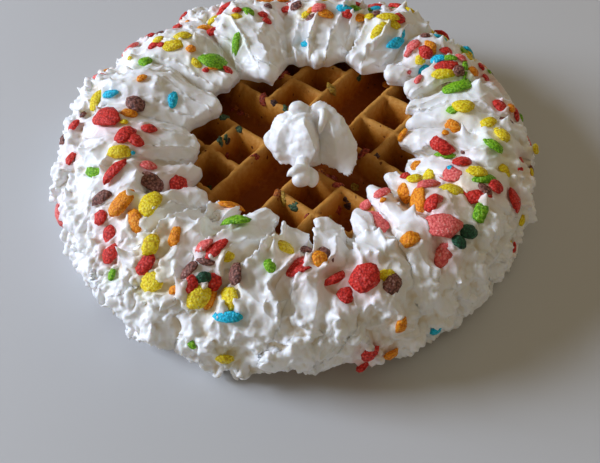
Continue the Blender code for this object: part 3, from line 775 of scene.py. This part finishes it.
# The lines that the swirl's skin runs through, round it from the left, as points from its foot to its top.
# The number before them is 1 where the skin passes the line at an edge, and 0 where it rounds a hollow or a
# lobe there.
SWIRL_LINES = {
    "fin": (1, [
        (-13.4, -8.2, 28.8), (-16.6, -6.2, 34), (-14, -3.8, 39), (-10.8, -1.6, 43.2), (-6.6, -1.4, 45.8),
        (-2, -2.4, 46.6),
    ]),
    "left_face": (1, [
        (-9, -15, 28.8), (-11, -12.8, 34.5), (-10.2, -9.4, 40), (-8.2, -6.8, 43.6), (-5.2, -4.9, 45.8),
        (-1.6, -3.8, 46.4),
    ]),
    "left_hollow": (0, [
        (-5.1, -16, 28.8), (-5.8, -13.4, 34), (-5.6, -10.8, 39.5), (-4.6, -8.4, 43.5), (-3, -6.6, 45.6),
        (-0.6, -4.8, 46.2),
    ]),
    "ridge": (1, [
        (1.4, -18, 28.8), (3.2, -19, 34), (5, -17.6, 39.5), (3, -15, 45.4), (0.4, -11.6, 49.4),
        (0.8, -6.6, 47.8),
    ]),
    "hollow": (0, [
        (7.6, -14.8, 28.8), (7.2, -11.6, 31), (6.8, -7.6, 34.6), (6, -5.2, 38.8), (4.8, -4.2, 42.6),
        (3.2, -4, 45.4),
    ]),
    "fan_face": (1, [
        (13.2, -18.2, 28.8), (14.2, -17.6, 33.5), (13.4, -13, 40), (11.4, -7.8, 44.6), (9.4, -3.8, 47.2),
        (6.8, -1.4, 48.2),
    ]),
    "fan_rim": (1, [
        (18.8, -22.6, 29.2), (22.2, -18.2, 32), (22.6, -12.4, 37.5), (17.8, -5.4, 44), (11.4, -0.2, 48.6),
        (6.3, 1, 49.8),
    ]),
    "fan_back": (0, [
        (15.5, -7, 28.8), (17.6, -7.6, 34.5), (16, -4.8, 39.5), (13, -1.6, 43.6), (9.6, 1, 46.8),
        (5, 1.6, 48.2),
    ]),
    "back_right": (0, [
        (14, 5, 28.8), (14.5, 4.6, 35), (13.4, 4.2, 40), (11.2, 3.8, 44), (8, 3.4, 46.6),
        (3.4, 0.9, 46.8),
    ]),
    "back_hollow": (0, [
        (6, 5.5, 28.8), (6, 5.2, 35), (5.4, 4.6, 39.5), (4.6, 3.4, 43), (3.6, 2.2, 45.4), (2, -0.2, 46.2),
    ]),
    "back_left": (0, [
        (-3, 9, 28.8), (-3.2, 9, 35), (-2.8, 8, 40), (-2, 6, 44), (-1, 3.8, 46.2), (0.2, 0.2, 46.6),
    ]),
    "side_hollow": (0, [
        (-8.5, 2.5, 28.8), (-8, 2.5, 35), (-7, 2.3, 39.5), (-5.5, 1.8, 43), (-3.8, 1.3, 45.4),
        (-1.5, -0.6, 46.4),
    ]),
}
# The strands of cream on it: points of each one's path, with the strand's radius there
SWIRL_STRANDS = {
    "knob": [
        (-4.4, -2.4, 45.4, 1.8), (-3.4, -0.8, 46.8, 2.7), (-1.6, -0.2, 47.2, 2.9), (0.4, -0.8, 46.8, 2.2),
        (1.8, -2, 46, 1.4),
    ],
    "roll": [
        (-4.8, -4.4, 45, 0.8), (-2.8, -5.2, 46.2, 1.2), (0.2, -4.9, 46.9, 1.4), (2.8, -4.4, 46.6, 1.2),
        (4.4, -3.4, 46.2, 0.8),
    ],
    "lip": [
        (6.2, -1.8, 46.8, 0.8), (8.2, -2.6, 47.4, 1.4), (8.6, -4.8, 46.4, 1.6), (7.8, -7.2, 44, 1.3),
        (6.8, -9.2, 41.4, 0.7),
    ],
    "tail": [
        (0.2, -16.5, 35, 2.8), (-0.4, -20, 33.6, 3.0), (-0.8, -23, 32.8, 3.4), (-0.8, -26.6, 31.6, 4.0),
        (-0.4, -29.4, 30.8, 3.0),
    ],
    "tail_lobe": [
        (1.6, -21.4, 33, 1.4), (3.8, -23.4, 32, 2.3), (4, -25.8, 31, 2.6), (2.4, -28.4, 30.4, 2.0),
    ],
    "flap": [
        (1.5, -22.8, 35.4, 1.4), (-1.8, -24, 36, 1.9), (-4.6, -25.2, 34.8, 1.6), (-6.6, -26, 33.4, 0.6),
    ],
}


def make_folds(rows=110, between=26):
    """The folded skin. In each row, from the foot to the top, the lines' points stand round their mean.
    Between two neighbours the direction from the mean turns evenly, and the distance and height go over
    from one to the other: evenly between two edges, as 3t^2 - 2t^3 between two rounded ones, else as the
    power 1.7 of the way from the rounded one, so that the skin meets an edge sharply and leaves a hollow
    flat."""
    lines = np.array([[*points, SWIRL_APEX] for _, points in SWIRL_LINES.values()], float)
    lines = curve_through(lines, np.linspace(0, 0.97, rows))
    edge = np.array([kind for kind, _ in SWIRL_LINES.values()])[:, None, None]
    middle = lines[..., :2].mean(0)
    offset = lines[..., :2] - middle
    reach = np.hypot(offset[..., 0], offset[..., 1])
    turn = np.arctan2(offset[..., 1], offset[..., 0])
    onward = np.mod(np.roll(turn, -1, 0) - turn, 2 * math.pi)
    t = np.arange(between) / between
    next_edge = np.roll(edge, -1, 0)
    share = np.where(edge, 1 - (1 - t) ** 1.7, np.where(next_edge, t**1.7, smooth_step(0, 1, t)))
    share = np.where(edge * next_edge, t, share)
    far = reach[..., None] + (np.roll(reach, -1, 0) - reach)[..., None] * share
    height = lines[..., 2, None] + (np.roll(lines[..., 2], -1, 0) - lines[..., 2])[..., None] * share
    turn = turn[..., None] + onward[..., None] * t
    middle_x, middle_y = middle[None, :, 0, None], middle[None, :, 1, None]
    skin = [middle_x + far * np.cos(turn), middle_y + far * np.sin(turn), height]
    return np.stack(skin, -1).transpose(1, 0, 2, 3).reshape(rows, -1, 3)


def strand(path, rows=60, around=32):
    """A squeezed strand: a circle carried along the smooth curve through the path. Its radius follows
    the path's, and rises from nothing at both ends."""
    t = (1 - np.cos(np.linspace(0.03, 0.97, rows) * math.pi)) / 2
    curve = curve_through(np.array(path, float)[None], t)[0]
    middle, radius = curve[:, :3], curve[:, 3] * np.sqrt(np.clip(1 - (2 * t - 1) ** 6, 0, 1))
    ahead = np.gradient(middle, axis=0)
    ahead /= np.linalg.norm(ahead, axis=1, keepdims=True)
    side = np.cross(ahead, np.array([0.0, 0.0, 1.0]))
    side /= np.linalg.norm(side, axis=1, keepdims=True)
    rise = np.cross(side, ahead)
    turn = np.linspace(0, 2 * math.pi, around, endpoint=False)
    across = side[:, None] * np.cos(turn)[:, None] + rise[:, None] * np.sin(turn)[:, None]
    return middle[:, None] + radius[:, None, None] * across


def close_ends(points):
    """A tube's grid as one list of points and one of faces, with a fan of triangles over each end."""
    rows, around = points.shape[:2]
    flat = points.reshape(-1, 3)
    ends = np.stack([points[0].mean(0), points[-1].mean(0)])
    faces = grid_faces(rows, around, False, True).tolist()
    for k in range(around):
        faces.append([len(flat), (k + 1) % around, k])
        faces.append([len(flat) + 1, (rows - 1) * around + k, (rows - 1) * around + (k + 1) % around])
    return np.concatenate([flat, ends]), faces


def hanging_together(places, edges):
    """Which points hang together with the one furthest right, found by spreading along the edges."""
    reached = np.zeros(len(places), bool)
    reached[places[:, 0].argmax()] = True
    spread = edges[:1]
    while len(spread):
        ends = reached[edges]
        spread = edges[ends.any(1) & ~ends.all(1)]
        reached[spread] = True
    return reached


def blended(tubes, cell, rounds):
    """One skin over closed tubes that run into each other: all in one mesh, remeshed in cubic cells and
    smoothed, without loose specks. Gives its points, its quads, each point's outward normal and its
    edges."""
    points, faces, count = [], [], 0
    for tube in tubes:
        closed, sides = close_ends(tube)
        points.append(closed)
        faces += [[corner + count for corner in side] for side in sides]
        count += len(closed)
    mesh = bpy.data.meshes.new("rough_swirl")
    mesh.from_pydata(np.concatenate(points).tolist(), [], faces)
    rough = bpy.data.objects.new("rough_swirl", mesh)
    bpy.context.scene.collection.objects.link(rough)
    remesh = rough.modifiers.new("one skin", "REMESH")
    remesh.mode = "VOXEL"
    remesh.voxel_size = cell
    soften = rough.modifiers.new("soften", "SMOOTH")
    soften.iterations = rounds
    skin = bpy.data.meshes.new_from_object(rough.evaluated_get(bpy.context.evaluated_depsgraph_get()))
    bpy.data.objects.remove(rough)
    bpy.data.meshes.remove(mesh)
    places, normals = np.empty(3 * len(skin.vertices)), np.empty(3 * len(skin.vertices))
    skin.vertices.foreach_get("co", places)
    skin.vertices.foreach_get("normal", normals)
    quads = np.empty(4 * len(skin.polygons), int)
    skin.polygons.foreach_get("vertices", quads)
    edges = np.empty(2 * len(skin.edges), int)
    skin.edges.foreach_get("vertices", edges)
    bpy.data.meshes.remove(skin)
    places, quads, edges = places.reshape(-1, 3), quads.reshape(-1, 4), edges.reshape(-1, 2)
    kept = hanging_together(places, edges)
    number = np.cumsum(kept) - 1
    quads, edges = number[quads[kept[quads[:, 0]]]], number[edges[kept[edges[:, 0]]]]
    return places[kept], quads, normals.reshape(-1, 3)[kept], edges


def mean_of_neighbours(values, edges, rounds):
    """Each point's value averaged with its neighbours' along the edges, a few times over."""
    count = np.bincount(edges.ravel(), minlength=len(values))[:, None]
    for _ in range(rounds):
        total = np.zeros_like(values)
        np.add.at(total, edges[:, 0], values[edges[:, 1]])
        np.add.at(total, edges[:, 1], values[edges[:, 0]])
        values = (values + total / count) / 2
    return values


def make_swirl():
    """The blended skin, roughened along its normals: soft lumps all over, patches of beads on its left
    side, and beads and torn teeth along the edges, where the skin stands out from its neighbourhood's
    mean."""
    tubes = [make_folds()] + [strand(path) for path in SWIRL_STRANDS.values()]
    points, faces, normals, edges = blended(tubes, SWIRL_CELL, 3)
    proud = np.sum((points - mean_of_neighbours(points, edges, 16)) * normals, -1)
    edge = smooth_step(0.08, 0.45, proud)
    rough = smooth_step(-0.1, 0.4, lumps(points, 8, 64)) * smooth_step(6, -4, points[:, 0])
    amount = 0.5 * lumps(points, 6, 60) + 0.22 * lumps(points, 2.8, 62)
    amount += rough * 1.3 * (domes(points, 3.4, 65) - 0.5)
    amount += edge * (0.8 * domes(points, 2.6, 61) - 0.3 + 0.8 * lumps(points, 1.7, 63))
    points = keep_in_box(points + normals * amount[:, None], 0.2)
    points[:, 2] = np.maximum(points[:, 2], CREAM_BASE - 0.2)
    # Painted shade: where the skin lies below its neighbourhood's mean, its hollows get the warmer, darker
    # tone.
    hollow = smooth_step(0.05, 0.5, -proud)[:, None]
    piece = new_piece("cream_swirl_skin", points, faces, CREAM)
    set_attribute(piece, "tone", CREAM_WHITE * (1 - hollow) + CREAM_HOLLOW_SHADE * hollow)
    return piece


swirl = make_swirl()
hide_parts("cream_swirl")

# The flakes. Crisp puffed rice with a coloured sugar glaze, from crumbs of 2 mm to flakes of 14 mm,
# sprinkled on by hand and partly sunk in the cream. The dye has run a little way into the cream round them.
# One mesh holds all the flakes of one colour.

FLAKE_BEND = 0.12
FLAKE_RISE = 0.1
FLAKE_SIZE = 1.06
BLEED_REACH = 0.75
# For each colour, the flakes that the photograph shows: pixel x and y, length and width in mm, and its turn
# in degrees, from lying across the picture towards standing up in it
SEEN_FLAKES = {
    "red": [
        (106, 118, 12.4, 8.9, -35), (126, 135, 9, 6.5, 60), (135, 140, 7, 5, -50),
        (149, 129, 5.8, 4.5, 20), (74, 126, 5.8, 4.5, 30), (70, 160, 7, 4, 90), (114, 171, 11, 4.5, 62),
        (178, 185, 11, 7, 85), (101, 218, 5.6, 5, 30), (110, 234, 8, 5, -65), (111, 254, 7, 5, 60),
        (146, 264, 8, 5.2, 55), (175, 24, 2.4, 2, 0), (153, 46, 5, 3.5, 20), (161, 45, 3, 2.4, 0),
        (212, 32, 8, 4, 35), (221, 13, 5.5, 3.5, 10), (237, 10, 4, 3, 0), (263, 15, 4.5, 3.5, 30),
        (267, 21, 4, 3.2, 0), (287, 10, 7, 4.5, 5), (348, 14, 6, 4.5, 0), (399, 19, 6, 5, 40),
        (426, 52, 6, 5, -50), (446, 51, 5.5, 3.5, -10), (447, 66, 9.5, 4.5, 0), (482, 59, 5.5, 3, -10),
        (495, 64, 6, 3, -5), (481, 67, 3.5, 3.4, 0), (228, 71, 5, 3.4, -20), (206, 70, 2.6, 2.2, 0),
        (500, 107, 7, 5.5, -70), (442, 146, 9, 5.5, -30), (462, 162, 7, 5.5, 20), (405, 176, 3.6, 3, 30),
        (432, 203, 6.5, 5, 80), (470, 198, 14.2, 5.5, 2), (496, 187, 5.8, 5.4, 0), (514, 200, 9, 5.3, 90),
        (216, 249, 8.5, 4.2, 45), (191, 286, 6.5, 4.5, 80), (214, 282, 6.2, 4.8, 75),
        (300, 267, 10.5, 8.4, -15), (337, 278, 9, 3, 28), (365, 278, 9.5, 8.8, 30),
        (345, 296, 6, 5.4, 30), (370, 353, 7.5, 5, 70), (362, 366, 5, 4.4, 20), (513, 250, 5.5, 2.6, 80),
        (357, 379, 3, 2.4, 0),
    ],
    "pink": [
        (148, 166, 5.8, 5, 0), (319, 8, 6, 4.5, 20), (413, 46, 6.2, 4.4, 30), (408, 53, 4, 3, 10),
        (461, 58, 5, 3.4, -40), (418, 80, 5.4, 2.6, 70), (409, 72, 2, 1.8, 0), (428, 184, 8.5, 4, 35),
        (451, 175, 9, 5.5, -20), (436, 199, 4.5, 3.6, 0), (442, 226, 12.5, 8.5, -8),
        (444, 254, 10, 5, 60), (378, 221, 12, 6, 92), (366, 205, 5, 3.4, 35), (382, 193, 6, 3.4, 30),
        (204, 246, 6, 4.2, 20),
    ],
    "orange": [
        (142, 78, 4.5, 3, 60), (128, 114, 6.5, 5, -10), (191, 49, 4, 3.5, 0), (206, 28, 7.5, 4, 40),
        (311, 10, 3.5, 3, 0), (325, 14, 7.5, 4.5, -5), (359, 18, 8, 4, 5), (431, 47, 6, 4, -60),
        (435, 31, 7, 5, 0), (387, 85, 4.2, 4, 0), (403, 135, 5.8, 4.5, 70), (503, 83, 6, 5.5, 0),
        (511, 108, 4, 3.5, 60), (453, 127, 6.2, 5, -50), (445, 133, 3, 2.5, 0), (415, 166, 5.8, 3.5, 5),
        (405, 193, 7.5, 5.5, -70), (419, 202, 10.5, 7.5, -80), (122, 203, 11, 6.5, 62),
        (135, 221, 8.8, 5.2, -62), (175, 236, 7.6, 3.6, 85), (175, 290, 4.5, 3, 0), (231, 206, 9, 5, 38),
        (210, 299, 7, 3.6, 70), (320, 259, 6.2, 5, -70), (410, 240, 6.2, 5.4, 20), (401, 325, 6, 3.6, 80),
        (391, 354, 5.5, 4, 30), (473, 72, 5.5, 4, 0), (383, 200, 2.4, 1.8, 20), (213, 66, 5, 4, 0),
    ],
    "yellow": [
        (96, 100, 9, 4.5, 80), (124, 122, 3, 2.4, 0), (119, 152, 8.8, 4.9, 5), (183, 36, 7, 4.5, 25),
        (172, 46, 10, 5, 10), (213, 20, 5.5, 3.5, 30), (235, 17, 6, 3.5, 0), (196, 63, 6, 3, -40),
        (227, 257, 4.5, 3.5, 0), (305, 15, 6.5, 3, 30), (369, 17, 5, 4, 70), (378, 30, 8.5, 4, 50),
        (388, 17, 9, 4, -10), (394, 24, 6, 4, -40), (420, 60, 4, 4, 0), (443, 74, 9.5, 4, 5),
        (466, 54, 4, 3, 0), (463, 107, 8.5, 8, -80), (488, 123, 6.2, 4, 20), (501, 134, 9.5, 5.3, 85),
        (535, 149, 4, 4, 0), (415, 179, 5.6, 5, 60), (429, 176, 6, 5.5, 50), (452, 191, 9.5, 6.2, 15),
        (478, 172, 7.5, 5, -10), (503, 169, 8.5, 4, -50), (151, 204, 10, 7, 80), (151, 245, 7.2, 5.5, 60),
        (153, 281, 8.6, 7.5, 30), (199, 297, 8.2, 6.5, 50), (229, 298, 8.2, 6.5, -50),
        (283, 249, 8.8, 6.5, 0), (386, 275, 6, 3.5, 20), (225, 358, 5.6, 5.2, 0), (374, 372, 4.2, 3, 0),
        (522, 220, 4.5, 3, 80), (158, 40, 5, 3.5, 20), (130, 58, 2.4, 2, 0),
    ],
    "green": [
        (95, 172, 9, 4, -12), (112, 275, 4.8, 3, 70), (370, 10, 3, 2.5, 0), (236, 44, 11, 3.2, 85),
        (213, 62, 11.5, 8, 5), (450, 58, 6.2, 3, -20), (465, 69, 9, 2.4, 75), (457, 88, 12, 8, 20),
        (493, 145, 7.8, 4, -45), (485, 179, 8.8, 3.8, 10), (480, 213, 8, 5, 70),
        (236, 221, 9.8, 5.2, -25), (270, 266, 5.2, 3.4, -70), (191, 343, 4.3, 2.8, -50),
        (145, 62, 5.5, 5, 0), (248, 12, 6, 4.5, -60), (356, 9, 6, 4, 0), (453, 110, 4.5, 4, 0),
        (445, 155, 8.8, 3.5, 0), (466, 82, 4, 3.5, 0),
    ],
    "dark_green": [
        (469, 232, 6.6, 5.2, 20), (459, 242, 5.4, 4.2, -30), (203, 278, 5.2, 4, 10),
    ],
    "blue": [
        (110, 94, 7, 3, 3), (173, 100, 6.6, 3.6, 80), (305, 44, 3.8, 3, 10), (345, 9, 7.5, 4, -5),
        (376, 8, 5, 2.8, 35), (402, 34, 5.5, 2.6, 75), (396, 43, 8, 4.2, 20), (438, 59, 6.5, 4, -20),
        (423, 69, 8.6, 4, 15), (450, 169, 3, 2.8, 0), (227, 317, 9.4, 3.6, 0), (435, 330, 5, 4.6, 20),
        (133, 153, 1.6, 1.4, 0),
    ],
    "plum": [
        (135, 104, 8, 6, -45), (83, 115, 3, 2.8, 0), (152, 182, 8, 6.8, -20), (101, 198, 8, 4.2, 20),
        (268, 6, 3.5, 3, 0), (296, 6, 5.5, 4.5, 0), (312, 18, 6, 3.5, 0), (376, 14, 4.5, 4, 0),
        (425, 36, 4, 3.5, 0), (459, 71, 4.8, 4.5, 80), (485, 190, 7, 3.4, -60), (190, 270, 8.4, 3.6, 45),
        (207, 261, 6.2, 3, -10), (236, 273, 7.5, 5, -60), (305, 250, 6.4, 3.2, -15),
        (327, 254, 5.8, 3, -50), (392, 284, 7.4, 6, 60), (463, 152, 1.8, 1.5, 0),
    ],
}
# The glaze's colour, its darker and its lighter grains, and the tint that its dye gives the cream
GLAZES = {
    "red": ("#E6362A", "#B01E16", "#F08078", "#F2A79C"),
    "pink": ("#FF7C76", "#DC5452", "#FFB6B0", "#F4B4AE"),
    "orange": ("#FFA016", "#DA780A", "#FFC05C", "#F4CFA0"),
    "yellow": ("#FFE820", "#DCB80E", "#FFF28C", "#EEE29A"),
    "green": ("#88C81C", "#5A9814", "#BCE66C", "#D8E6B0"),
    "dark_green": ("#265E42", "#183C2C", "#447C60", "#D0DACA"),
    "blue": ("#1AD4F8", "#0CA2CA", "#68E0F4", "#C4DEE6"),
    "plum": ("#8E5A4E", "#52302A", "#C09A90", "#E2D2D0"),
}
UNSEEN_FLAKES = 90
UNSEEN_MIX = ["red", "red", "pink", "orange", "yellow", "yellow", "green", "blue", "plum"]


def sugar_glaze(name, colour, dark, light):
    """Puffed rice with a baked-on sugar glaze: grains of half-melted sugar in a strong dye, some lighter
    and some darker, with a soft gloss on each grain. They are drawn 1 mm wide, coarser than real, so
    that they show."""
    made, shader = new_material(name)
    place = add(made, "TexCoord").outputs["Object"]
    grain = add(made, "TexVoronoi", [("Vector", place)], Scale=1 / (0.95 * MM))
    cloud = add(made, "TexNoise", [("Vector", place)], Scale=1 / (1.1 * MM), Detail=5.0, Roughness=0.65)
    level = add(
        made, "Math", [(0, grain.outputs["Distance"]), (2, cloud.outputs["Fac"])], operation="MULTIPLY_ADD"
    )
    level.inputs[1].default_value = -0.55
    shade = ramp(made, level.outputs[0], [(0.08, dark), (0.24, colour), (0.33, colour), (0.5, light)])
    bump = add(made, "Bump", [("Height", level.outputs[0])], Strength=1.0, Distance=0.6 * MM)
    feed(made, shader, Base_Color=shade, Normal=bump.outputs[0])
    shader.inputs["Roughness"].default_value = 0.45
    shader.inputs["Specular IOR Level"].default_value = 0.3
    shader.inputs["Subsurface Weight"].default_value = 0.2
    shader.inputs["Subsurface Radius"].default_value = (1.0, 0.6, 0.4)
    shader.inputs["Subsurface Scale"].default_value = 0.8 * MM
    return made


def widened(normals, steps):
    """The normals averaged over each point's neighbourhood, so that a flake follows the lie of the cream
    and not one rib."""
    total = normals.copy()
    for way in (0, 1):
        total = sum(np.roll(total, step, way) for step in steps)
    return total / np.linalg.norm(total, axis=-1, keepdims=True)


def laid_flat(direction, normal):
    """A direction turned into the plane across the normal, at unit length."""
    flat = direction - normal * np.dot(direction, normal)
    return flat / np.linalg.norm(flat)


def flake_cloud(spots, seed, uneven=0.26):
    """All the flakes of one colour as one array of points and one list of faces. Each is a ball of seven
    rings of 12 points and two poles, squashed to its length, width and height, bent along its length and
    made lumpy by a random field of its own."""
    around, rows = 12, 7
    turn = np.linspace(0, 2 * math.pi, around, endpoint=False)
    slant = np.linspace(0, math.pi, rows + 2)[1:-1][:, None]
    ball = [np.cos(slant) + 0 * turn, np.sin(slant) * np.cos(turn), np.sin(slant) * np.sin(turn)]
    ball = np.concatenate([np.stack(ball, -1).reshape(-1, 3), [[1, 0, 0], [-1, 0, 0]]])
    count = len(ball)
    quads = grid_faces(rows, around, False, True)[:, ::-1]
    first = [[count - 2, k, (k + 1) % around] for k in range(around)]
    start = (rows - 1) * around
    last = [[count - 1, start + (k + 1) % around, start + k] for k in range(around)]
    clouds, faces = [], []
    for number, (place, normal, along, length, width) in enumerate(spots):
        own = np.array([17.0 * number, 5.0 * seed, 3.0])
        lumpy = 1.12 + uneven * (lumps(ball + own, 0.75, seed) + 0.55 * lumps(ball + own, 0.38, seed + 1))
        shape = ball * lumpy[:, None] * np.array([length, width, 0.28 * width + 0.8]) * FLAKE_SIZE / 2
        shape[:, 2] -= FLAKE_BEND * length * (2 * shape[:, 0] / length) ** 2 * 0.5
        side = np.cross(normal, along)
        points = place + shape[:, :1] * along + shape[:, 1:2] * side + shape[:, 2:] * normal
        clouds.append(points)
        offset = number * count
        faces += (quads + offset).tolist() + [[v + offset for v in f] for f in first + last]
    return np.concatenate(clouds), faces


def sink(location, normal, length, width):
    """The middle of a flake that lies on the skin there, a tenth of its width up, so that its lower part
    is sunk. It is kept inside the CAD solids' box, with room for its length along one direction laid
    flat and for its width along the normal."""
    place = np.array(location) + normal * width * FLAKE_RISE
    lie = laid_flat(np.array([1.0, 0.2, 0.1]), normal)
    room = 0.5 * (length * np.abs(lie) + width * np.abs(normal)) + 0.4
    return np.clip(place, BOX_LOW + room, BOX_HIGH - room)


ring_normals = widened(grid_normals(ring_skin), (-12, -8, -4, 0, 4, 8, 12))
camera_right = np.array(CAMERA_TURN.to_matrix() @ Vector((1, 0, 0)))
camera_up = np.array(CAMERA_TURN.to_matrix() @ Vector((0, 1, 0)))


def seen_spots(rows):
    """Where each flake that the photograph shows lies: the camera's ray meets the cream or, past it, the
    waffle."""
    spots = []
    for pixel_x, pixel_y, length, width, turn in rows:
        ray = pixel_ray(pixel_x, pixel_y)
        location, normal, face, _ = ring_tree.ray_cast(Vector(CAMERA_PLACE), ray)
        if location is None:
            location, normal, face, _ = plate_tree.ray_cast(Vector(CAMERA_PLACE), ray)
            if location is None:
                continue
            normal = np.array(normal)
        else:
            column, row = divmod(face, ring_closed.shape[1])
            normal = ring_normals[column, min(row, SKIN_ROWS - 1)]
        turn = math.radians(turn)
        along = laid_flat(math.cos(turn) * camera_right + math.sin(turn) * camera_up, normal)
        spots.append((sink(location, normal, length, width), normal, along, length, width))
    return spots


def unseen_spots():
    """Flakes for the sides that the photograph doesn't show, by colour: at random on the upper and outer
    skin, wherever it faces away from the camera."""
    draw = np.random.default_rng(23)
    spots = {colour: [] for colour in GLAZES}
    left = UNSEEN_FLAKES
    while left:
        column = draw.integers(0, len(ring_skin))
        row = int(np.clip(draw.normal(0.55, 0.14), 0.3, 0.85) * SKIN_ROWS)
        location, normal = ring_skin[column, row], ring_normals[column, row]
        towards = CAMERA_PLACE - location
        if np.dot(towards, normal) > 0.1 * np.linalg.norm(towards):
            continue
        left -= 1
        length = draw.uniform(4.5, 10)
        width = length * draw.uniform(0.45, 0.8)
        along = laid_flat(draw.normal(0, 1, 3), normal)
        colour = UNSEEN_MIX[draw.integers(0, len(UNSEEN_MIX))]
        spots[colour].append((sink(location, normal, length, width), normal, along, length, width))
    return spots


def bleed(tone, spots, tint, seed):
    """Lets the dye run into the cream: near a flake the tone goes towards the tint by a share that falls
    as e to the minus (distance over the reach) squared. Only the 180 columns of the skin nearest to it
    are looked at."""
    draw = np.random.default_rng(seed)
    columns_near = 90
    for place, _, _, length, width in spots:
        share = draw.uniform(0.12, 0.6)
        middle = np.argmin(np.linalg.norm(ring_skin[:, SKIN_ROWS // 2, :2] - place[:2], axis=-1))
        near = np.arange(middle - columns_near, middle + columns_near) % len(ring_skin)
        away = np.linalg.norm(ring_skin[near] - place, axis=-1)
        weight = share * np.exp(-((away / (BLEED_REACH * (length + width) / 2 + 0.8)) ** 2))[..., None]
        tone[near] = tone[near] * (1 - weight) + np.array(linear(tint)) * weight
    return tone


plate_tree = BVHTree.FromPolygons(plate_points.tolist(), plate_faces.tolist())
tone = cream_tone_with_shade(ring_skin)
unseen = unseen_spots()
for seed, (colour, (glaze, dark, light, tint)) in enumerate(GLAZES.items()):
    spots = seen_spots(SEEN_FLAKES[colour]) + unseen[colour]
    points, faces = flake_cloud(spots, 80 + seed)
    material = sugar_glaze(colour.replace("_", " ") + " sugar glaze", glaze, dark, light)
    new_piece("flakes_" + colour, points, faces, material)
    tone = bleed(tone, spots, tint, 50 + seed)
paint_ring(tone)

# The bits in the batter. Crumbs of the same flakes that were baked in: small, flat, nearly flush with the
# ridges and the pockets' walls, their dye browned by the iron.

BAKED_BITS = {
    "red": [
        (288, 71), (263, 98), (227, 156), (257, 157), (362, 153), (335, 178), (306, 216), (339, 210),
        (365, 149), (283, 73), (329, 176), (338, 184), (232, 110), (240, 112),
    ],
    "green": [
        (285, 108), (225, 116), (239, 128), (293, 207), (359, 78), (209, 188), (226, 140), (221, 143),
    ],
    "orange": [(278, 194), (405, 134), (306, 171), (236, 107), (247, 115), (321, 172)],
    "yellow": [(354, 187), (329, 219), (322, 226), (283, 201), (332, 88)],
    "plum": [(274, 102), (345, 200), (377, 156), (348, 206), (228, 142)],
}
BAKED_SIZE = (5.2, 3.2)


def baked_spots(pixels, seed):
    """Where each bit lies in the waffle: the camera's ray meets the plate, and the bit's middle lies
    under the crust there, so that only its upper side shows."""
    draw = np.random.default_rng(seed)
    spots = []
    for pixel_x, pixel_y in pixels:
        location, normal, _, _ = plate_tree.ray_cast(Vector(CAMERA_PLACE), pixel_ray(pixel_x, pixel_y))
        normal = np.array(normal)
        size = draw.uniform(0.6, 1.15)
        along = laid_flat(draw.normal(0, 1, 3), normal)
        length, width = BAKED_SIZE[0] * size, BAKED_SIZE[1] * size
        spots.append((np.array(location) - normal * (0.14 * width + 0.1), normal, along, length, width))
    return spots


BROWNED = {
    "red": ("#9C3A22", "#6A1E10", "#C06848"),
    "green": ("#3F5A3C", "#22382A", "#6A8456"),
    "orange": ("#B4601C", "#7E3C0C", "#D08A44"),
    "yellow": ("#B08A2A", "#7E5E14", "#CCAE58"),
    "plum": ("#4A2C24", "#2A1610", "#6E5048"),
}
for seed, (colour, (glaze, dark, light)) in enumerate(BROWNED.items()):
    points, faces = flake_cloud(baked_spots(BAKED_BITS[colour], 90 + seed), 95 + seed, 0.5)
    material = sugar_glaze("browned " + colour + " glaze", glaze, dark, light)
    new_piece("baked_bits_" + colour, points, faces, material)

# The floor and the light, which aren't part of the food. A plain pale floor, one large soft window at the
# left, weak warm ones in front and at the right, and an even sky.

FLOOR_SIDE = 3.0

floor_mesh = bpy.data.meshes.new("floor")
half = FLOOR_SIDE / 2
corners = [(-half, -half, 0), (half, -half, 0), (half, half, 0), (-half, half, 0)]
floor_mesh.from_pydata(corners, [], [(0, 1, 2, 3)])
floor = bpy.data.objects.new("floor", floor_mesh)
bpy.context.scene.collection.objects.link(floor)
pale, pale_shader = new_material("pale matt paper")
pale_shader.inputs["Base Color"].default_value = linear("#C9CACB")
pale_shader.inputs["Roughness"].default_value = 0.7
floor_mesh.materials.append(pale)


def soft_window(name, place, size, power, colour):
    """A square area light at a place in metres that faces the waffle."""
    light = bpy.data.lights.new(name, "AREA")
    light.size = size
    light.energy = power
    light.color = linear(colour)[:3]
    window = bpy.data.objects.new(name, light)
    window.location = place
    window.rotation_euler = (Vector((0, 0, 0.03)) - Vector(place)).to_track_quat("-Z", "Y").to_euler()
    bpy.context.scene.collection.objects.link(window)


soft_window("left_window", (-1.5, 0.16, 0.76), 0.6, 34, "#E0EBFF")
soft_window("front_fill", (-0.3, -1.2, 0.9), 0.8, 1.0, "#FFF6EA")
soft_window("right_fill", (0.6, 0.4, 0.45), 0.6, 0.6, "#FFF0DC")
world = bpy.data.worlds.new("even sky")
world.use_nodes = True
world.node_tree.nodes["Background"].inputs["Color"].default_value = linear("#EAD5AC")
world.node_tree.nodes["Background"].inputs["Strength"].default_value = 0.23
bpy.context.scene.world = world
bpy.context.scene.view_settings.view_transform = "Standard"
